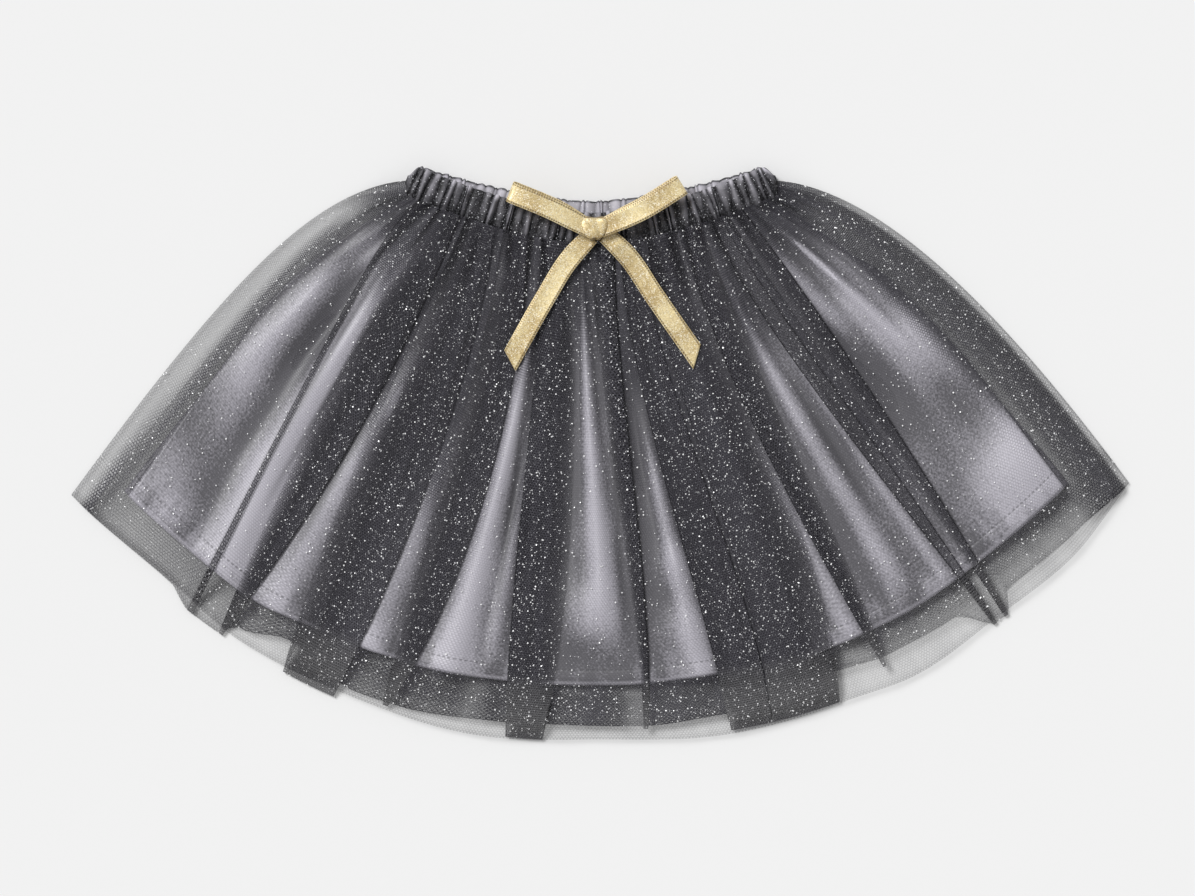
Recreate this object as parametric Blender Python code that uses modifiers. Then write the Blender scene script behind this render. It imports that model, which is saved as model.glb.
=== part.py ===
"""A small child's tutu skirt, laid flat on its back with the front panels uppermost.

The skirt is three tubes of cloth sewn into one gathered, elasticated waistband: an outer skirt of
sheer glitter tulle, a shorter satin skirt, and a net petticoat inside it. Laid flat, each tube is a
back panel and a front panel, so from the table up the panels are outer tulle, satin, net, net,
satin, outer tulle. A ribbon bow is sewn to the front of the waistband.

+X is the wearer's left as the skirt lies, +Y runs from the hem to the waist, and +Z is up from the
table. Every panel is worked out in two skirt coordinates: `across`, from -1 at the left fold to 1
at the right fold, and `down`, from 0 at the waist seam to about 1 at the hem.
"""

import math
from collections import namedtuple

import bmesh
import bpy
import numpy as np
from mathutils import Vector
from mathutils.bvhtree import BVHTree

# Cloth, in metres
WALL = 0.0010
GAP = 0.0003
SOFT_GAP = 0.0004
LAYER = WALL + GAP

# Waistband: a gathered casing over elastic, its two halves laid on each other
BAND_SPAN = 0.0935
BAND_REACH = 0.0870
BAND_END = 0.0062
BAND_HALF_HEIGHT = 0.0082
BAND_CURVE = 1.6
BACK_BAND_TOP = 0.0046
FRONT_BAND_FLOOR = BACK_BAND_TOP + GAP
FRONT_BAND_TOP = 0.0104
BAND_GATHERS = 38
BAND_RIDGE = 0.0011
BAND_SCALLOP = 0.0007

# How far each half of the waist sags between its ends
Dip = namedtuple("Dip", "middle rise")
FRONT_DIP = Dip(middle=0.1125, rise=0.0255)
BACK_DIP = Dip(middle=0.1185, rise=0.0195)

# Plan of the skirt
WAIST_SHIFT = -0.0042
SEAM_ROUND = 0.93
HEM_HALF_WIDTH = 0.2662
HEM_SHIFT = 0.0023
HEM_LOWEST = -0.1440
HEM_RISE = 0.1250
HEM_CURVE = 2.35
FAN_ANGLE = math.radians(62.5)
SKIRT_LENGTH = 0.2550

# Side folds of each tube, in `across`
LINING_SIDE = 0.912
NET_SIDE = 0.972
EDGE_CLEAR = 0.0010

# Hem lines: how far down each panel reaches
HemPoint = namedtuple("HemPoint", "across down")
LINING_HEM = (
    HemPoint(-1.00, 0.945),
    HemPoint(-0.65, 0.930),
    HemPoint(-0.40, 0.896),
    HemPoint(0.00, 0.888),
    HemPoint(0.20, 0.886),
    HemPoint(0.45, 0.902),
    HemPoint(0.80, 0.914),
    HemPoint(1.00, 0.926),
)
NET_HEM = (
    HemPoint(-1.00, 0.980),
    HemPoint(-0.75, 0.974),
    HemPoint(-0.58, 0.962),
    HemPoint(-0.40, 0.972),
    HemPoint(-0.20, 0.970),
    HemPoint(0.00, 0.965),
    HemPoint(0.18, 0.957),
    HemPoint(0.38, 0.936),
    HemPoint(0.55, 0.944),
    HemPoint(0.80, 0.962),
    HemPoint(1.00, 0.972),
)
TULLE_HEM = (
    HemPoint(-1.00, 1.006),
    HemPoint(-0.74, 0.999),
    HemPoint(-0.66, 1.012),
    HemPoint(-0.57, 0.996),
    HemPoint(-0.47, 1.012),
    HemPoint(-0.40, 0.990),
    HemPoint(-0.26, 1.002),
    HemPoint(-0.12, 0.998),
    HemPoint(-0.06, 0.988),
    HemPoint(0.04, 1.001),
    HemPoint(0.16, 0.986),
    HemPoint(0.28, 0.995),
    HemPoint(0.45, 1.006),
    HemPoint(0.60, 0.994),
    HemPoint(0.67, 1.005),
    HemPoint(0.74, 0.994),
    HemPoint(1.00, 0.985),
)

# Pleats of the outer tulle: cloth folded over itself between a left and a right line, given in
# `across` at the waist, halfway down and at the hem. `top` says which line is the raised fold.
Pleat = namedtuple("Pleat", "left_waist left_mid left_hem right_waist right_mid right_hem top")
PLEATS = (
    Pleat(-0.888, -0.782, -0.697, -0.856, -0.768, -0.689, "left"),
    Pleat(-0.785, -0.716, -0.645, -0.680, -0.626, -0.631, "right"),
    Pleat(-0.620, -0.606, -0.518, -0.500, -0.446, -0.428, "left"),
    Pleat(-0.440, -0.386, -0.350, -0.330, -0.308, -0.341, "left"),
    Pleat(-0.250, -0.200, -0.153, -0.120, -0.074, -0.098, "left"),
    Pleat(-0.010, 0.052, 0.070, 0.080, 0.108, 0.079, "right"),
    Pleat(0.135, 0.184, 0.197, 0.225, 0.268, 0.252, "left"),
    Pleat(0.285, 0.322, 0.272, 0.395, 0.448, 0.370, "right"),
    Pleat(0.460, 0.466, 0.460, 0.540, 0.522, 0.469, "left"),
    Pleat(0.600, 0.617, 0.646, 0.640, 0.649, 0.655, "left"),
    Pleat(0.700, 0.686, 0.674, 0.770, 0.716, 0.683, "right"),
)

# One pleat's section: share of the way from the raised fold to the other line, then how far past
# that in metres, and its share of the pleat's height
PLEAT_SECTION = (
    (0.0, -0.0012, 0.0),
    (0.0, 0.0004, 1.0),
    (0.5, 0.0000, 0.80),
    (1.0, -0.0004, 0.55),
    (1.0, 0.0024, 0.0),
)
PLEAT_HEIGHT = 0.0019
LEAST_PLEAT = 0.0030

# Soft folds of the satin front: where each ridge runs, its half width across and its height
Fold = namedtuple("Fold", "waist mid hem half_width height reach")
SATIN_FOLDS = (
    Fold(-0.84, -0.88, -0.87, 0.040, 0.0020, 0.75),
    Fold(-0.72, -0.74, -0.73, 0.070, 0.0026, 1.00),
    Fold(-0.55, -0.56, -0.55, 0.060, 0.0018, 0.90),
    Fold(-0.38, -0.40, -0.42, 0.060, 0.0022, 1.00),
    Fold(-0.22, -0.26, -0.28, 0.050, 0.0026, 1.00),
    Fold(-0.06, -0.01, -0.02, 0.060, 0.0028, 0.90),
    Fold(0.10, 0.16, 0.17, 0.050, 0.0020, 1.00),
    Fold(0.28, 0.34, 0.36, 0.070, 0.0018, 0.85),
    Fold(0.46, 0.55, 0.56, 0.060, 0.0026, 1.00),
    Fold(0.66, 0.70, 0.70, 0.050, 0.0018, 0.80),
    Fold(0.80, 0.83, 0.84, 0.060, 0.0026, 1.00),
)

# Low pleats of the petticoat that show below the satin
NET_PLEAT_COUNT = 20
NET_PLEAT_HEIGHT = 0.0008

# Rows down the front panels, as shares of the way to the satin hem
FRONT_ROWS = (0.0, 0.05, 0.13, 0.26, 0.42, 0.60, 0.80)
FLAT_ROWS = (0.0, 0.06, 0.20, 0.40, 0.62, 0.82, 1.0)
WAIST_LIFT = 0.0013
LIFT_REACH = 0.10
SIDE_CLOSE_REACH = 0.15
GATHER_HEIGHT = 0.0011
GATHER_REACH = 0.45
GATHER_PITCH = 0.024
LINING_COLUMNS = 49
FLAT_COLUMNS = 19
END_COLUMNS = 5

# Heights of the middle of each panel's wall above the table
TULLE_BACK_Z = WALL / 2
LINING_BACK_Z = TULLE_BACK_Z + LAYER
NET_BACK_Z = LINING_BACK_Z + LAYER
NET_FRONT_Z = NET_BACK_Z + LAYER
LINING_FRONT_Z = NET_FRONT_Z + LAYER
OVER_PANEL = WALL + SOFT_GAP
ON_TULLE_BACK_Z = TULLE_BACK_Z + LAYER

# Ribbon bow
RIBBON_WIDTH = 0.0095
RIBBON_NECK = 0.0062
RIBBON_CLEAR = 0.0007
RIBBON_ACROSS = np.array([-0.5, -0.17, 0.17, 0.5])
KNOT_CENTRE = Vector((-0.0027, 0.1127))
KNOT_SIZE = Vector((0.0128, 0.0112, 0.0056))
KNOT_TAPER = 0.18
LOOP_LEAST = 0.00162
LOOP_PUFF = 0.0036
LOOP_BACK_SLIP = 0.0020
# Plan routes along the middle of the ribbon, from the knot outwards
LEFT_LOOP = (Vector((-0.0050, 0.1125)), Vector((-0.0255, 0.1226)), Vector((-0.0430, 0.1298)))
RIGHT_LOOP = (Vector((0.0000, 0.1125)), Vector((0.0220, 0.1222)), Vector((0.0392, 0.1328)))
LEFT_TAIL = (
    Vector((-0.0060, 0.1078)),
    Vector((-0.0160, 0.0968)),
    Vector((-0.0270, 0.0788)),
    Vector((-0.0450, 0.0468)),
)
RIGHT_TAIL = (
    Vector((0.0045, 0.1088)),
    Vector((0.0145, 0.0983)),
    Vector((0.0265, 0.0803)),
    Vector((0.0485, 0.0488)),
)
LEFT_TAIL_SLANT = 0.0032
RIGHT_TAIL_SLANT = -0.0040

# Sections of the band's halves: place from the lower edge (-1) to the upper (1), and share of height
FRONT_PROFILE = (
    (-1.0, 0.45),
    (-0.72, 0.86),
    (-0.30, 1.0),
    (0.20, 0.97),
    (0.72, 0.90),
    (1.0, 0.50),
    (0.86, 0.0),
    (-0.86, 0.0),
)
BACK_PROFILE = (
    (-1.0, 0.42),
    (-0.80, 1.0),
    (0.80, 1.0),
    (1.0, 0.50),
    (0.92, 0.0),
    (-0.92, 0.0),
)

Finish = namedtuple("Finish", "colour roughness metallic")
GLITTER_TULLE = Finish((0.075, 0.075, 0.085), 0.70, 0.0)
PETTICOAT_NET = Finish((0.060, 0.060, 0.066), 0.75, 0.0)
SATIN = Finish((0.420, 0.415, 0.435), 0.35, 0.0)
GATHERED_CASING = Finish((0.130, 0.130, 0.140), 0.60, 0.0)
GOLD_RIBBON = Finish((0.700, 0.560, 0.270), 0.35, 0.8)


def smooth(share):
    """0 below 0, 1 above 1, and an even S between."""
    share = np.clip(share, 0.0, 1.0)
    return share * share * (3.0 - 2.0 * share)


def along(table, across):
    """A curve through a table's points, with the slope at each point taken from its neighbours."""
    places, values = (np.array(column) for column in zip(*table))
    slopes = np.gradient(values, places)
    after = np.clip(np.searchsorted(places, across), 1, len(places) - 1)
    before = after - 1
    step = places[after] - places[before]
    t = (np.clip(across, places[0], places[-1]) - places[before]) / step
    return (
        values[before] * (1 + 2 * t) * (1 - t) ** 2
        + slopes[before] * step * t * (1 - t) ** 2
        + values[after] * t * t * (3 - 2 * t)
        - slopes[after] * step * t * t * (1 - t)
    )


def through(waist, mid, hem, down):
    """The parabola that has those values at the waist, halfway down and at the hem."""
    return (
        waist * (1 - down) * (1 - 2 * down)
        + mid * 4 * down * (1 - down)
        + hem * down * (2 * down - 1)
    )


def band_frame(x, dip):
    """The middle of the waistband at x from its centre, with its direction to +X and the one up."""
    share = np.abs(x) / BAND_SPAN
    y = dip.middle + dip.rise * share**BAND_CURVE
    slope = np.sign(x) * dip.rise * BAND_CURVE * share ** (BAND_CURVE - 1) / BAND_SPAN
    length = np.sqrt(1 + slope * slope)
    middle = np.stack([x + WAIST_SHIFT, y], axis=-1)
    forward = np.stack([1 / length, slope / length], axis=-1)
    up = np.stack([-slope / length, 1 / length], axis=-1)
    return middle, forward, up


def seam(across, dip):
    """Where the panels are sewn in: along the band's lower edge, then round its end to half height."""
    side = np.sign(across)
    x = side * np.minimum(np.abs(across) / SEAM_ROUND, 1.0) * BAND_REACH
    middle, forward, up = band_frame(x, dip)
    turn = np.clip((np.abs(across) - SEAM_ROUND) / (1 - SEAM_ROUND), 0, 1) * math.pi / 2
    outwards = (BAND_END + GAP) * np.sin(turn) * side
    below = (BAND_HALF_HEIGHT + BAND_SCALLOP + GAP) * np.cos(turn)
    return middle + forward * outwards[..., None] - up * below[..., None]


def plan(across, down, dip):
    """Skirt coordinates to X and Y: each line of constant `across` is a cubic curve from seam to hem."""
    across, down = np.broadcast_arrays(np.asarray(across, float), np.asarray(down, float))
    start = seam(across, dip)
    swing = np.sin(FAN_ANGLE * across) / math.sin(FAN_ANGLE)
    end = np.stack(
        [HEM_SHIFT + HEM_HALF_WIDTH * swing, HEM_LOWEST + HEM_RISE * np.abs(swing) ** HEM_CURVE],
        axis=-1,
    )
    side = (across**2)[..., None]
    outward = np.sign(across)[..., None] * np.array([1.0, 0.0])
    leave = (
        start
        + outward * 0.0475 * side
        - np.array([0.0, 1.0]) * (0.075 * (1 - side) + 0.0025 * side)
    )
    arrive = (
        end
        - (end - start) * 0.33 * (1 - side)
        - outward * 0.075 * side
        + np.array([0.0, 0.1025]) * side
    )
    t = down[..., None]
    return (
        start * (1 - t) ** 3
        + leave * 3 * t * (1 - t) ** 2
        + arrive * 3 * t * t * (1 - t)
        + end * t**3
    )


def metres_across(across, down, dip):
    """How many metres one unit of `across` measures there."""
    step = 0.002
    ends = plan(across + step, down, dip) - plan(across - step, down, dip)
    return np.linalg.norm(ends, axis=-1) / (2 * step)


def material(name, finish):
    made = bpy.data.materials.new(name)
    made.use_nodes = True
    shader = made.node_tree.nodes["Principled BSDF"]
    shader.inputs["Base Color"].default_value = (*finish.colour, 1.0)
    shader.inputs["Roughness"].default_value = finish.roughness
    shader.inputs["Metallic"].default_value = finish.metallic
    return made


def add_object(name, mesh, finish, collection):
    made = bpy.data.objects.new(name, mesh)
    mesh.materials.append(material(name, finish))
    collection.objects.link(made)
    return made


def grid_mesh(name, points):
    """A grid primitive whose points are moved to a table of rows by columns, facing up."""
    rows, columns = points.shape[:2]
    shape = bmesh.new()
    bmesh.ops.create_grid(shape, x_segments=columns - 1, y_segments=rows - 1, size=1.0)
    shape.verts.ensure_lookup_table()
    for vertex, place in zip(shape.verts, points[::-1].reshape(-1, 3)):
        vertex.co = place
    mesh = bpy.data.meshes.new(name)
    shape.to_mesh(mesh)
    shape.free()
    mesh.shade_smooth()
    return mesh


def cloth(name, points, finish, collection):
    """A panel of cloth: the middle surface, with half a wall added on each side."""
    made = add_object(name, grid_mesh(name, points), finish, collection)
    wall = made.modifiers.new("wall", "SOLIDIFY")
    wall.thickness = WALL
    wall.offset = 0.0
    wall.use_even_offset = True
    wall.use_quality_normals = True
    return made


def with_height(place, height):
    return np.concatenate([place, np.broadcast_to(height, place.shape[:-1])[..., None]], axis=-1)


def spread_columns(side, count):
    """Places across from -side to side, closer together where the seam rounds the band's ends."""
    turned = np.linspace(SEAM_ROUND, max(side, SEAM_ROUND), END_COLUMNS)[1:]
    middle = np.linspace(-min(side, SEAM_ROUND), min(side, SEAM_ROUND), count)
    return np.concatenate([-turned[::-1], middle, turned] if side > SEAM_ROUND else [middle])


def flat_panel(name, side, hem, dip, height, finish, collection):
    """A panel pressed flat under the ones on top of it."""
    across = spread_columns(side, FLAT_COLUMNS)[None, :]
    down = np.array(FLAT_ROWS)[:, None] * along(hem, across)
    points = with_height(plan(across, down, dip), height)
    return cloth(name, points, finish, collection)


def waist_lift(down):
    """The front panels rise a little to the front half of the waistband."""
    return WAIST_LIFT * (1 - smooth(down / LIFT_REACH))


def petticoat_front(finish, collection):
    """The net's front panel, flat under the satin and in low pleats where it shows below it."""
    across = spread_columns(NET_SIDE, 2 * NET_PLEAT_COUNT + 1)[None, :]
    satin_hem, hem = along(LINING_HEM, across), along(NET_HEM, across)
    clear = EDGE_CLEAR / SKIRT_LENGTH
    upper = np.array([*FRONT_ROWS, 1.0])[:, None] * (satin_hem + clear)
    down = np.concatenate([upper, hem], axis=0)
    height = NET_FRONT_Z + waist_lift(down)
    crest = np.arange(across.size) % 2
    height[-1] += NET_PLEAT_HEIGHT * crest
    points = with_height(plan(across, down, FRONT_DIP), height)
    return cloth("petticoat_front", points, finish, collection)


def satin_height(across, down):
    """Height of the satin front: soft ridges that rise from the waist and ease off at hem and sides."""
    height = np.zeros(np.broadcast(across, down).shape)
    for fold in SATIN_FOLDS:
        middle = through(fold.waist, fold.mid, fold.hem, down)
        width = fold.half_width * (0.55 + 0.45 * down)
        ridge = 1 - smooth(np.abs(across - middle) / width)
        ease = 0.35 + 0.65 * smooth(down / 0.35) * (1 - 0.6 * smooth((down - 0.7) / 0.3) * fold.reach)
        height = np.maximum(height, fold.height * ridge * ease)
    at_side = smooth((LINING_SIDE - np.abs(across)) / 0.03)
    return LINING_FRONT_Z + waist_lift(down) + height * at_side


def satin_rows():
    """The satin front's columns, and its rows' places down the skirt and heights."""
    across = np.linspace(-LINING_SIDE, LINING_SIDE, LINING_COLUMNS)[None, :]
    down = np.array([*FRONT_ROWS, 1.0])[:, None] * along(LINING_HEM, across)
    return across[0], down, satin_height(across, down)


def satin_front(finish, collection):
    across, down, height = satin_rows()
    points = with_height(plan(across[None, :], down, FRONT_DIP), height)
    return cloth("lining_front", points, finish, collection)


def pleat_columns(down, scale):
    """Each pleat's section on one row: places across from left to right, and heights."""
    share, past, lift = np.array(PLEAT_SECTION).T
    pieces = []
    for pleat in PLEATS:
        left = through(pleat.left_waist, pleat.left_mid, pleat.left_hem, down)
        right = through(pleat.right_waist, pleat.right_mid, pleat.right_hem, down)
        right = max(right, left + LEAST_PLEAT / scale)
        if pleat.top == "left":
            across = left + share * (right - left) + past / scale
        else:
            across = (right - share * (right - left) - past / scale)[::-1]
        height = PLEAT_HEIGHT * (lift if pleat.top == "left" else lift[::-1])
        pieces.append((across, height))
    return pieces


def gather_counts():
    """How many gathered columns go between neighbouring pleats, worked out at the waist."""
    pieces = pleat_columns(0.0, float(metres_across(0.0, 0.0, FRONT_DIP)))
    starts = [float(across[0]) for across, _ in pieces] + [LINING_SIDE]
    ends = [-LINING_SIDE] + [float(across[-1]) for across, _ in pieces]
    return [
        2 * max(1, round((start - end) / GATHER_PITCH / 2)) - 1
        for start, end in zip(starts, ends)
    ]


def tulle_row(down, counts):
    """One row of the outer tulle: sides, stretches of single cloth with gathers, and pleats."""
    scale = float(metres_across(0.0, down, FRONT_DIP))
    inner = LINING_SIDE + EDGE_CLEAR / scale
    outer = NET_SIDE + EDGE_CLEAR / scale
    gather = GATHER_HEIGHT * (1 - 0.7 * smooth(down / GATHER_REACH))
    side = [inner, (inner + outer) / 2, outer, (outer + 1) / 2, 1.0]
    across, lift = [-place for place in side[::-1]], [0.0] * len(side)
    for count, piece in zip(counts, [*pleat_columns(down, scale), None]):
        begin = across[-1]
        finish = piece[0][0] if piece else inner
        steps = np.arange(1, count + 1)
        across += list(begin + (finish - begin) * steps / (count + 1))
        lift += list(gather * (steps % 2))
        if piece:
            across += list(piece[0])
            lift += list(piece[1])
    across += side
    lift += [0.0] * len(side)
    return np.array(across), np.array(lift), inner, outer


def highest_near(across, places, heights):
    """At each column, the highest of the line through those points, out to the next columns."""
    spread = np.linspace(-1.0, 1.0, 4001)
    line = np.interp(spread, places, heights)
    reach = np.concatenate([[across[0]], across, [across[-1]]])
    return np.array(
        [
            line[(spread >= before - 0.001) & (spread <= after + 0.001)].max()
            for before, after in zip(reach, reach[2:])
        ]
    )


def tulle_front(finish, collection):
    """The outer tulle's front panel: eleven pleats and the gathers between them, over the satin."""
    columns, _, satin_z = satin_rows()
    counts = gather_counts()
    over_net = NET_FRONT_Z + OVER_PANEL
    clear = EDGE_CLEAR / SKIRT_LENGTH
    points = []
    for share, heights in zip([*FRONT_ROWS, 1.0], satin_z):
        level = share * float(along(LINING_HEM, 0.0))
        across, lift, inner, outer = tulle_row(level, counts)
        edge = over_net + waist_lift(level)
        fold = edge + (ON_TULLE_BACK_Z - edge) * smooth(level / SIDE_CLOSE_REACH)
        places = [-inner, *columns, inner]
        satin = highest_near(across, places, [heights[0], *heights, heights[-1]]) + OVER_PANEL
        side = np.abs(across)
        step = np.clip((side - inner) / (outer - inner), 0, 1)
        z = satin + (edge - satin) * step + np.interp(side, [outer, 1.0], [0.0, fold - edge])
        down = share * along(LINING_HEM, across) + (clear if share == 1.0 else 0.0)
        points.append(with_height(plan(across, down, FRONT_DIP), z + lift))
    across, lift, inner, outer = tulle_row(0.96, counts)
    over_net += NET_PLEAT_HEIGHT
    z = np.interp(np.abs(across), [outer, 1.0], [over_net, ON_TULLE_BACK_Z])
    points.append(with_height(plan(across, along(NET_HEM, across) + clear, FRONT_DIP), z + lift))
    across, lift, inner, outer = tulle_row(1.0, counts)
    place = plan(across, along(TULLE_HEM, across), FRONT_DIP)
    points.append(with_height(place, ON_TULLE_BACK_Z + lift))
    return cloth("tulle_front", np.array(points), finish, collection)


def loft(name, rings, finish, collection):
    """A closed skin over a row of rings that all have the same number of points, with filled ends."""
    shape = bmesh.new()
    loops = [[shape.verts.new(place) for place in ring] for ring in rings]
    for ring, after in zip(loops, loops[1:]):
        for i in range(len(ring)):
            j = (i + 1) % len(ring)
            shape.faces.new((ring[i], ring[j], after[j], after[i]))
    shape.faces.new(loops[0][::-1])
    shape.faces.new(loops[-1])
    bmesh.ops.recalc_face_normals(shape, faces=shape.faces)
    mesh = bpy.data.meshes.new(name)
    shape.to_mesh(mesh)
    shape.free()
    mesh.shade_smooth()
    mesh.set_sharp_from_angle(angle=math.radians(60))
    return add_object(name, mesh, finish, collection)


def gather_places(per_gather):
    """Columns along the band from -1 to 1 at uneven gathers, each with its place in its gather."""
    count = BAND_GATHERS * per_gather
    phase = np.arange(count + 1) / per_gather
    share = 2 * phase / BAND_GATHERS - 1
    uneven = 0.010 * np.sin(7.3 * math.pi * share + 0.4) + 0.006 * np.sin(17.1 * math.pi * share + 1.3)
    return share + uneven * (1 - share**8), phase % 1


def band_rings(dip, floor, top, ridge, profile, per_gather):
    """Rings across half of the band: a flat casing whose face and long edges are drawn up in gathers."""
    share, phase = gather_places(per_gather)
    middle, _, up = band_frame(np.clip(share, -1, 1) * BAND_REACH, dip)
    crest = 1 - np.abs(np.mod(phase + 0.5, 1) - 0.5) * 2
    strength = crest * (0.75 + 0.25 * np.sin(11.7 * share + 0.8))
    out, height = np.array(profile).T
    edge = BAND_HALF_HEIGHT + BAND_SCALLOP * (2 * strength[:, None] - 1) * np.abs(out)
    place = middle[:, None, :] + up[:, None, :] * (out * edge)[..., None]
    lift = ridge * (strength[:, None] - 0.5) * height
    return with_height(place, floor + (top - floor) * height + lift)


def band_end(ring, side, dip, floor, top):
    """The rings that round off one end of the band, from the last full ring outwards."""
    _, forward, _ = (value[0] for value in band_frame(np.array([side * BAND_REACH]), dip))
    centre = ring.mean(axis=0)
    centre[2] = floor + 0.45 * (top - floor)
    grown = []
    for turn in np.radians([30, 60, 82]):
        squeeze = np.array([math.cos(turn), math.cos(turn), 0.4 + 0.6 * math.cos(turn)])
        shrunk = centre + (ring - centre) * squeeze
        shrunk[:, :2] += forward * side * BAND_END * math.sin(turn)
        grown.append(np.maximum(shrunk, [-1.0, -1.0, floor]))
    return grown


def band_half(name, dip, floor, top, ridge, profile, per_gather, finish, collection):
    """Half of the waistband, from one round end to the other."""
    rings = band_rings(dip, floor, top, ridge, profile, per_gather)
    left = band_end(rings[0], -1.0, dip, floor, top)[::-1]
    right = band_end(rings[-1], 1.0, dip, floor, top)
    return loft(name, [*left, *rings, *right], finish, collection)


def height_finder(objects):
    """A function giving the highest point of those objects at an X and Y, or None beside them."""
    graph = bpy.context.evaluated_depsgraph_get()
    trees = [BVHTree.FromObject(made, graph) for made in objects]

    def highest(x, y):
        hits = [tree.ray_cast(Vector((x, y, 1.0)), Vector((0, 0, -1)))[0] for tree in trees]
        found = [hit.z for hit in hits if hit is not None]
        return max(found) if found else None

    return highest


def route(points, count):
    """Evenly spread points on a smooth curve through the given ones, with the sideways direction."""
    knots = np.array([tuple(point) for point in points])
    lengths = np.concatenate([[0], np.cumsum(np.linalg.norm(np.diff(knots, axis=0), axis=1))])
    at = np.linspace(0, lengths[-1], count)
    place = np.stack([along(list(zip(lengths, knots[:, k])), at) for k in range(2)], axis=1)
    forward = np.gradient(place, axis=0)
    forward /= np.linalg.norm(forward, axis=1)[:, None]
    return place, np.stack([-forward[:, 1], forward[:, 0]], axis=1)


def resting(place, sideways, width, highest, floor):
    """Heights that clear what lies under a ribbon, eased so that it bridges the hollows."""
    tops = []
    for middle, side in zip(place, sideways):
        found = [
            highest(*(middle + side * width * share)) for share in np.linspace(-0.62, 0.62, 9)
        ]
        tops.append(max([floor, *(z for z in found if z is not None)]))
    tops = np.array(tops)
    for _ in range(2):
        spread = np.maximum(tops, np.maximum(np.roll(tops, 1), np.roll(tops, -1)))
        spread[0], spread[-1] = max(tops[:2]), max(tops[-2:])
        eased = np.convolve(np.pad(spread, 1, mode="edge"), [0.25, 0.5, 0.25], mode="valid")
        tops = np.maximum(tops, eased)
    return tops


def ribbon_tail(name, points, slant, highest, finish, collection):
    """A loose end of the ribbon: it lies on the skirt, narrow at the knot and cut off at a slant."""
    count = 15
    place, sideways = route(points, count)
    share = np.linspace(0, 1, count)
    width = RIBBON_NECK + (RIBBON_WIDTH - RIBBON_NECK) * smooth(share / 0.15)
    rest = resting(place, sideways, RIBBON_WIDTH, highest, FRONT_BAND_TOP)
    offset = RIBBON_ACROSS[None, :] * width[:, None]
    xy = place[:, None, :] + sideways[:, None, :] * offset[..., None]
    forward = np.stack([sideways[:, 1], -sideways[:, 0]], axis=1)
    late = smooth((share - 0.8) / 0.2)[:, None] * (RIBBON_ACROSS[None, :] * slant / 0.5)
    xy += forward[:, None, :] * late[..., None]
    z = np.repeat((rest + RIBBON_CLEAR + WALL / 2)[:, None], RIBBON_ACROSS.size, axis=1)
    return cloth(name, with_height(xy, z), finish, collection)


def ribbon_loop(name, points, back_slip, highest, finish, collection):
    """A loop of the bow: the ribbon runs out, folds over at the end and comes back to the knot."""
    count = 9
    place, sideways = route(points, count)
    share = np.linspace(0, 1, count)
    rest = resting(place, sideways, RIBBON_WIDTH, highest, FRONT_BAND_TOP).max()
    under = np.full(count, rest + RIBBON_CLEAR + WALL / 2)
    open_by = LOOP_LEAST + LOOP_PUFF * np.sin(math.pi * np.minimum(share * 0.72 + 0.12, 1.0))
    neck = RIBBON_NECK + (RIBBON_WIDTH - RIBBON_NECK) * smooth(share / 0.3)
    slipped = place - sideways * (back_slip * smooth(share / 0.5))[:, None]
    forward = np.stack([sideways[:, 1], -sideways[:, 0]], axis=1)
    end = open_by[-1]
    tip = [
        (place[-1] + forward[-1] * end * 0.36, under[-1] + end * 0.16),
        (place[-1] + forward[-1] * end * 0.52, under[-1] + end * 0.50),
        (place[-1] + forward[-1] * end * 0.36, under[-1] + end * 0.84),
    ]
    middles = [*slipped, *(t[0] for t in tip), *place[::-1]]
    heights = [*under, *(t[1] for t in tip), *(under + open_by)[::-1]]
    sides = [*sideways, *[sideways[-1]] * 3, *sideways[::-1]]
    widths = [*neck, *[RIBBON_WIDTH] * 3, *neck[::-1]]
    points = np.array(
        [
            [(*(m + s * w * a), h) for a in RIBBON_ACROSS]
            for m, h, s, w in zip(middles, heights, sides, widths)
        ]
    )
    return cloth(name, points, finish, collection)


def knot_mesh(name, grow, floor):
    """The knot: a rounded block, wider at the top than at the bottom, flat where it rests."""
    shape = bmesh.new()
    bmesh.ops.create_cube(shape, size=1.0)
    bmesh.ops.subdivide_edges(shape, edges=shape.edges, cuts=4, use_grid_fill=True)
    size = KNOT_SIZE + Vector((grow, grow, grow)) * 2
    for vertex in shape.verts:
        cube = vertex.co * 2
        ball = cube.normalized()
        soft = cube.lerp(ball, 0.55)
        soft.x *= 1 + KNOT_TAPER * soft.y
        vertex.co = Vector(
            (
                KNOT_CENTRE.x + soft.x * size.x / 2,
                KNOT_CENTRE.y + soft.y * size.y / 2,
                floor - grow + (soft.z + 1) * size.z / 2,
            )
        )
    mesh = bpy.data.meshes.new(name)
    shape.to_mesh(mesh)
    shape.free()
    mesh.shade_smooth()
    return mesh


def cut_by(made, cutter):
    cut = made.modifiers.new("room_for_the_knot", "BOOLEAN")
    cut.operation = "DIFFERENCE"
    cut.solver = "EXACT"
    cut.object = cutter


def build_tubes(collection):
    """The six panels of the three tubes, from the table up."""
    flat_panel(
        "tulle_back", 1.0, TULLE_HEM, BACK_DIP, TULLE_BACK_Z, GLITTER_TULLE, collection
    )
    flat_panel(
        "lining_back", LINING_SIDE, LINING_HEM, BACK_DIP, LINING_BACK_Z, SATIN, collection
    )
    flat_panel(
        "petticoat_back", NET_SIDE, NET_HEM, BACK_DIP, NET_BACK_Z, PETTICOAT_NET, collection
    )
    petticoat_front(PETTICOAT_NET, collection)
    satin_front(SATIN, collection)
    return tulle_front(GLITTER_TULLE, collection)


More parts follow.
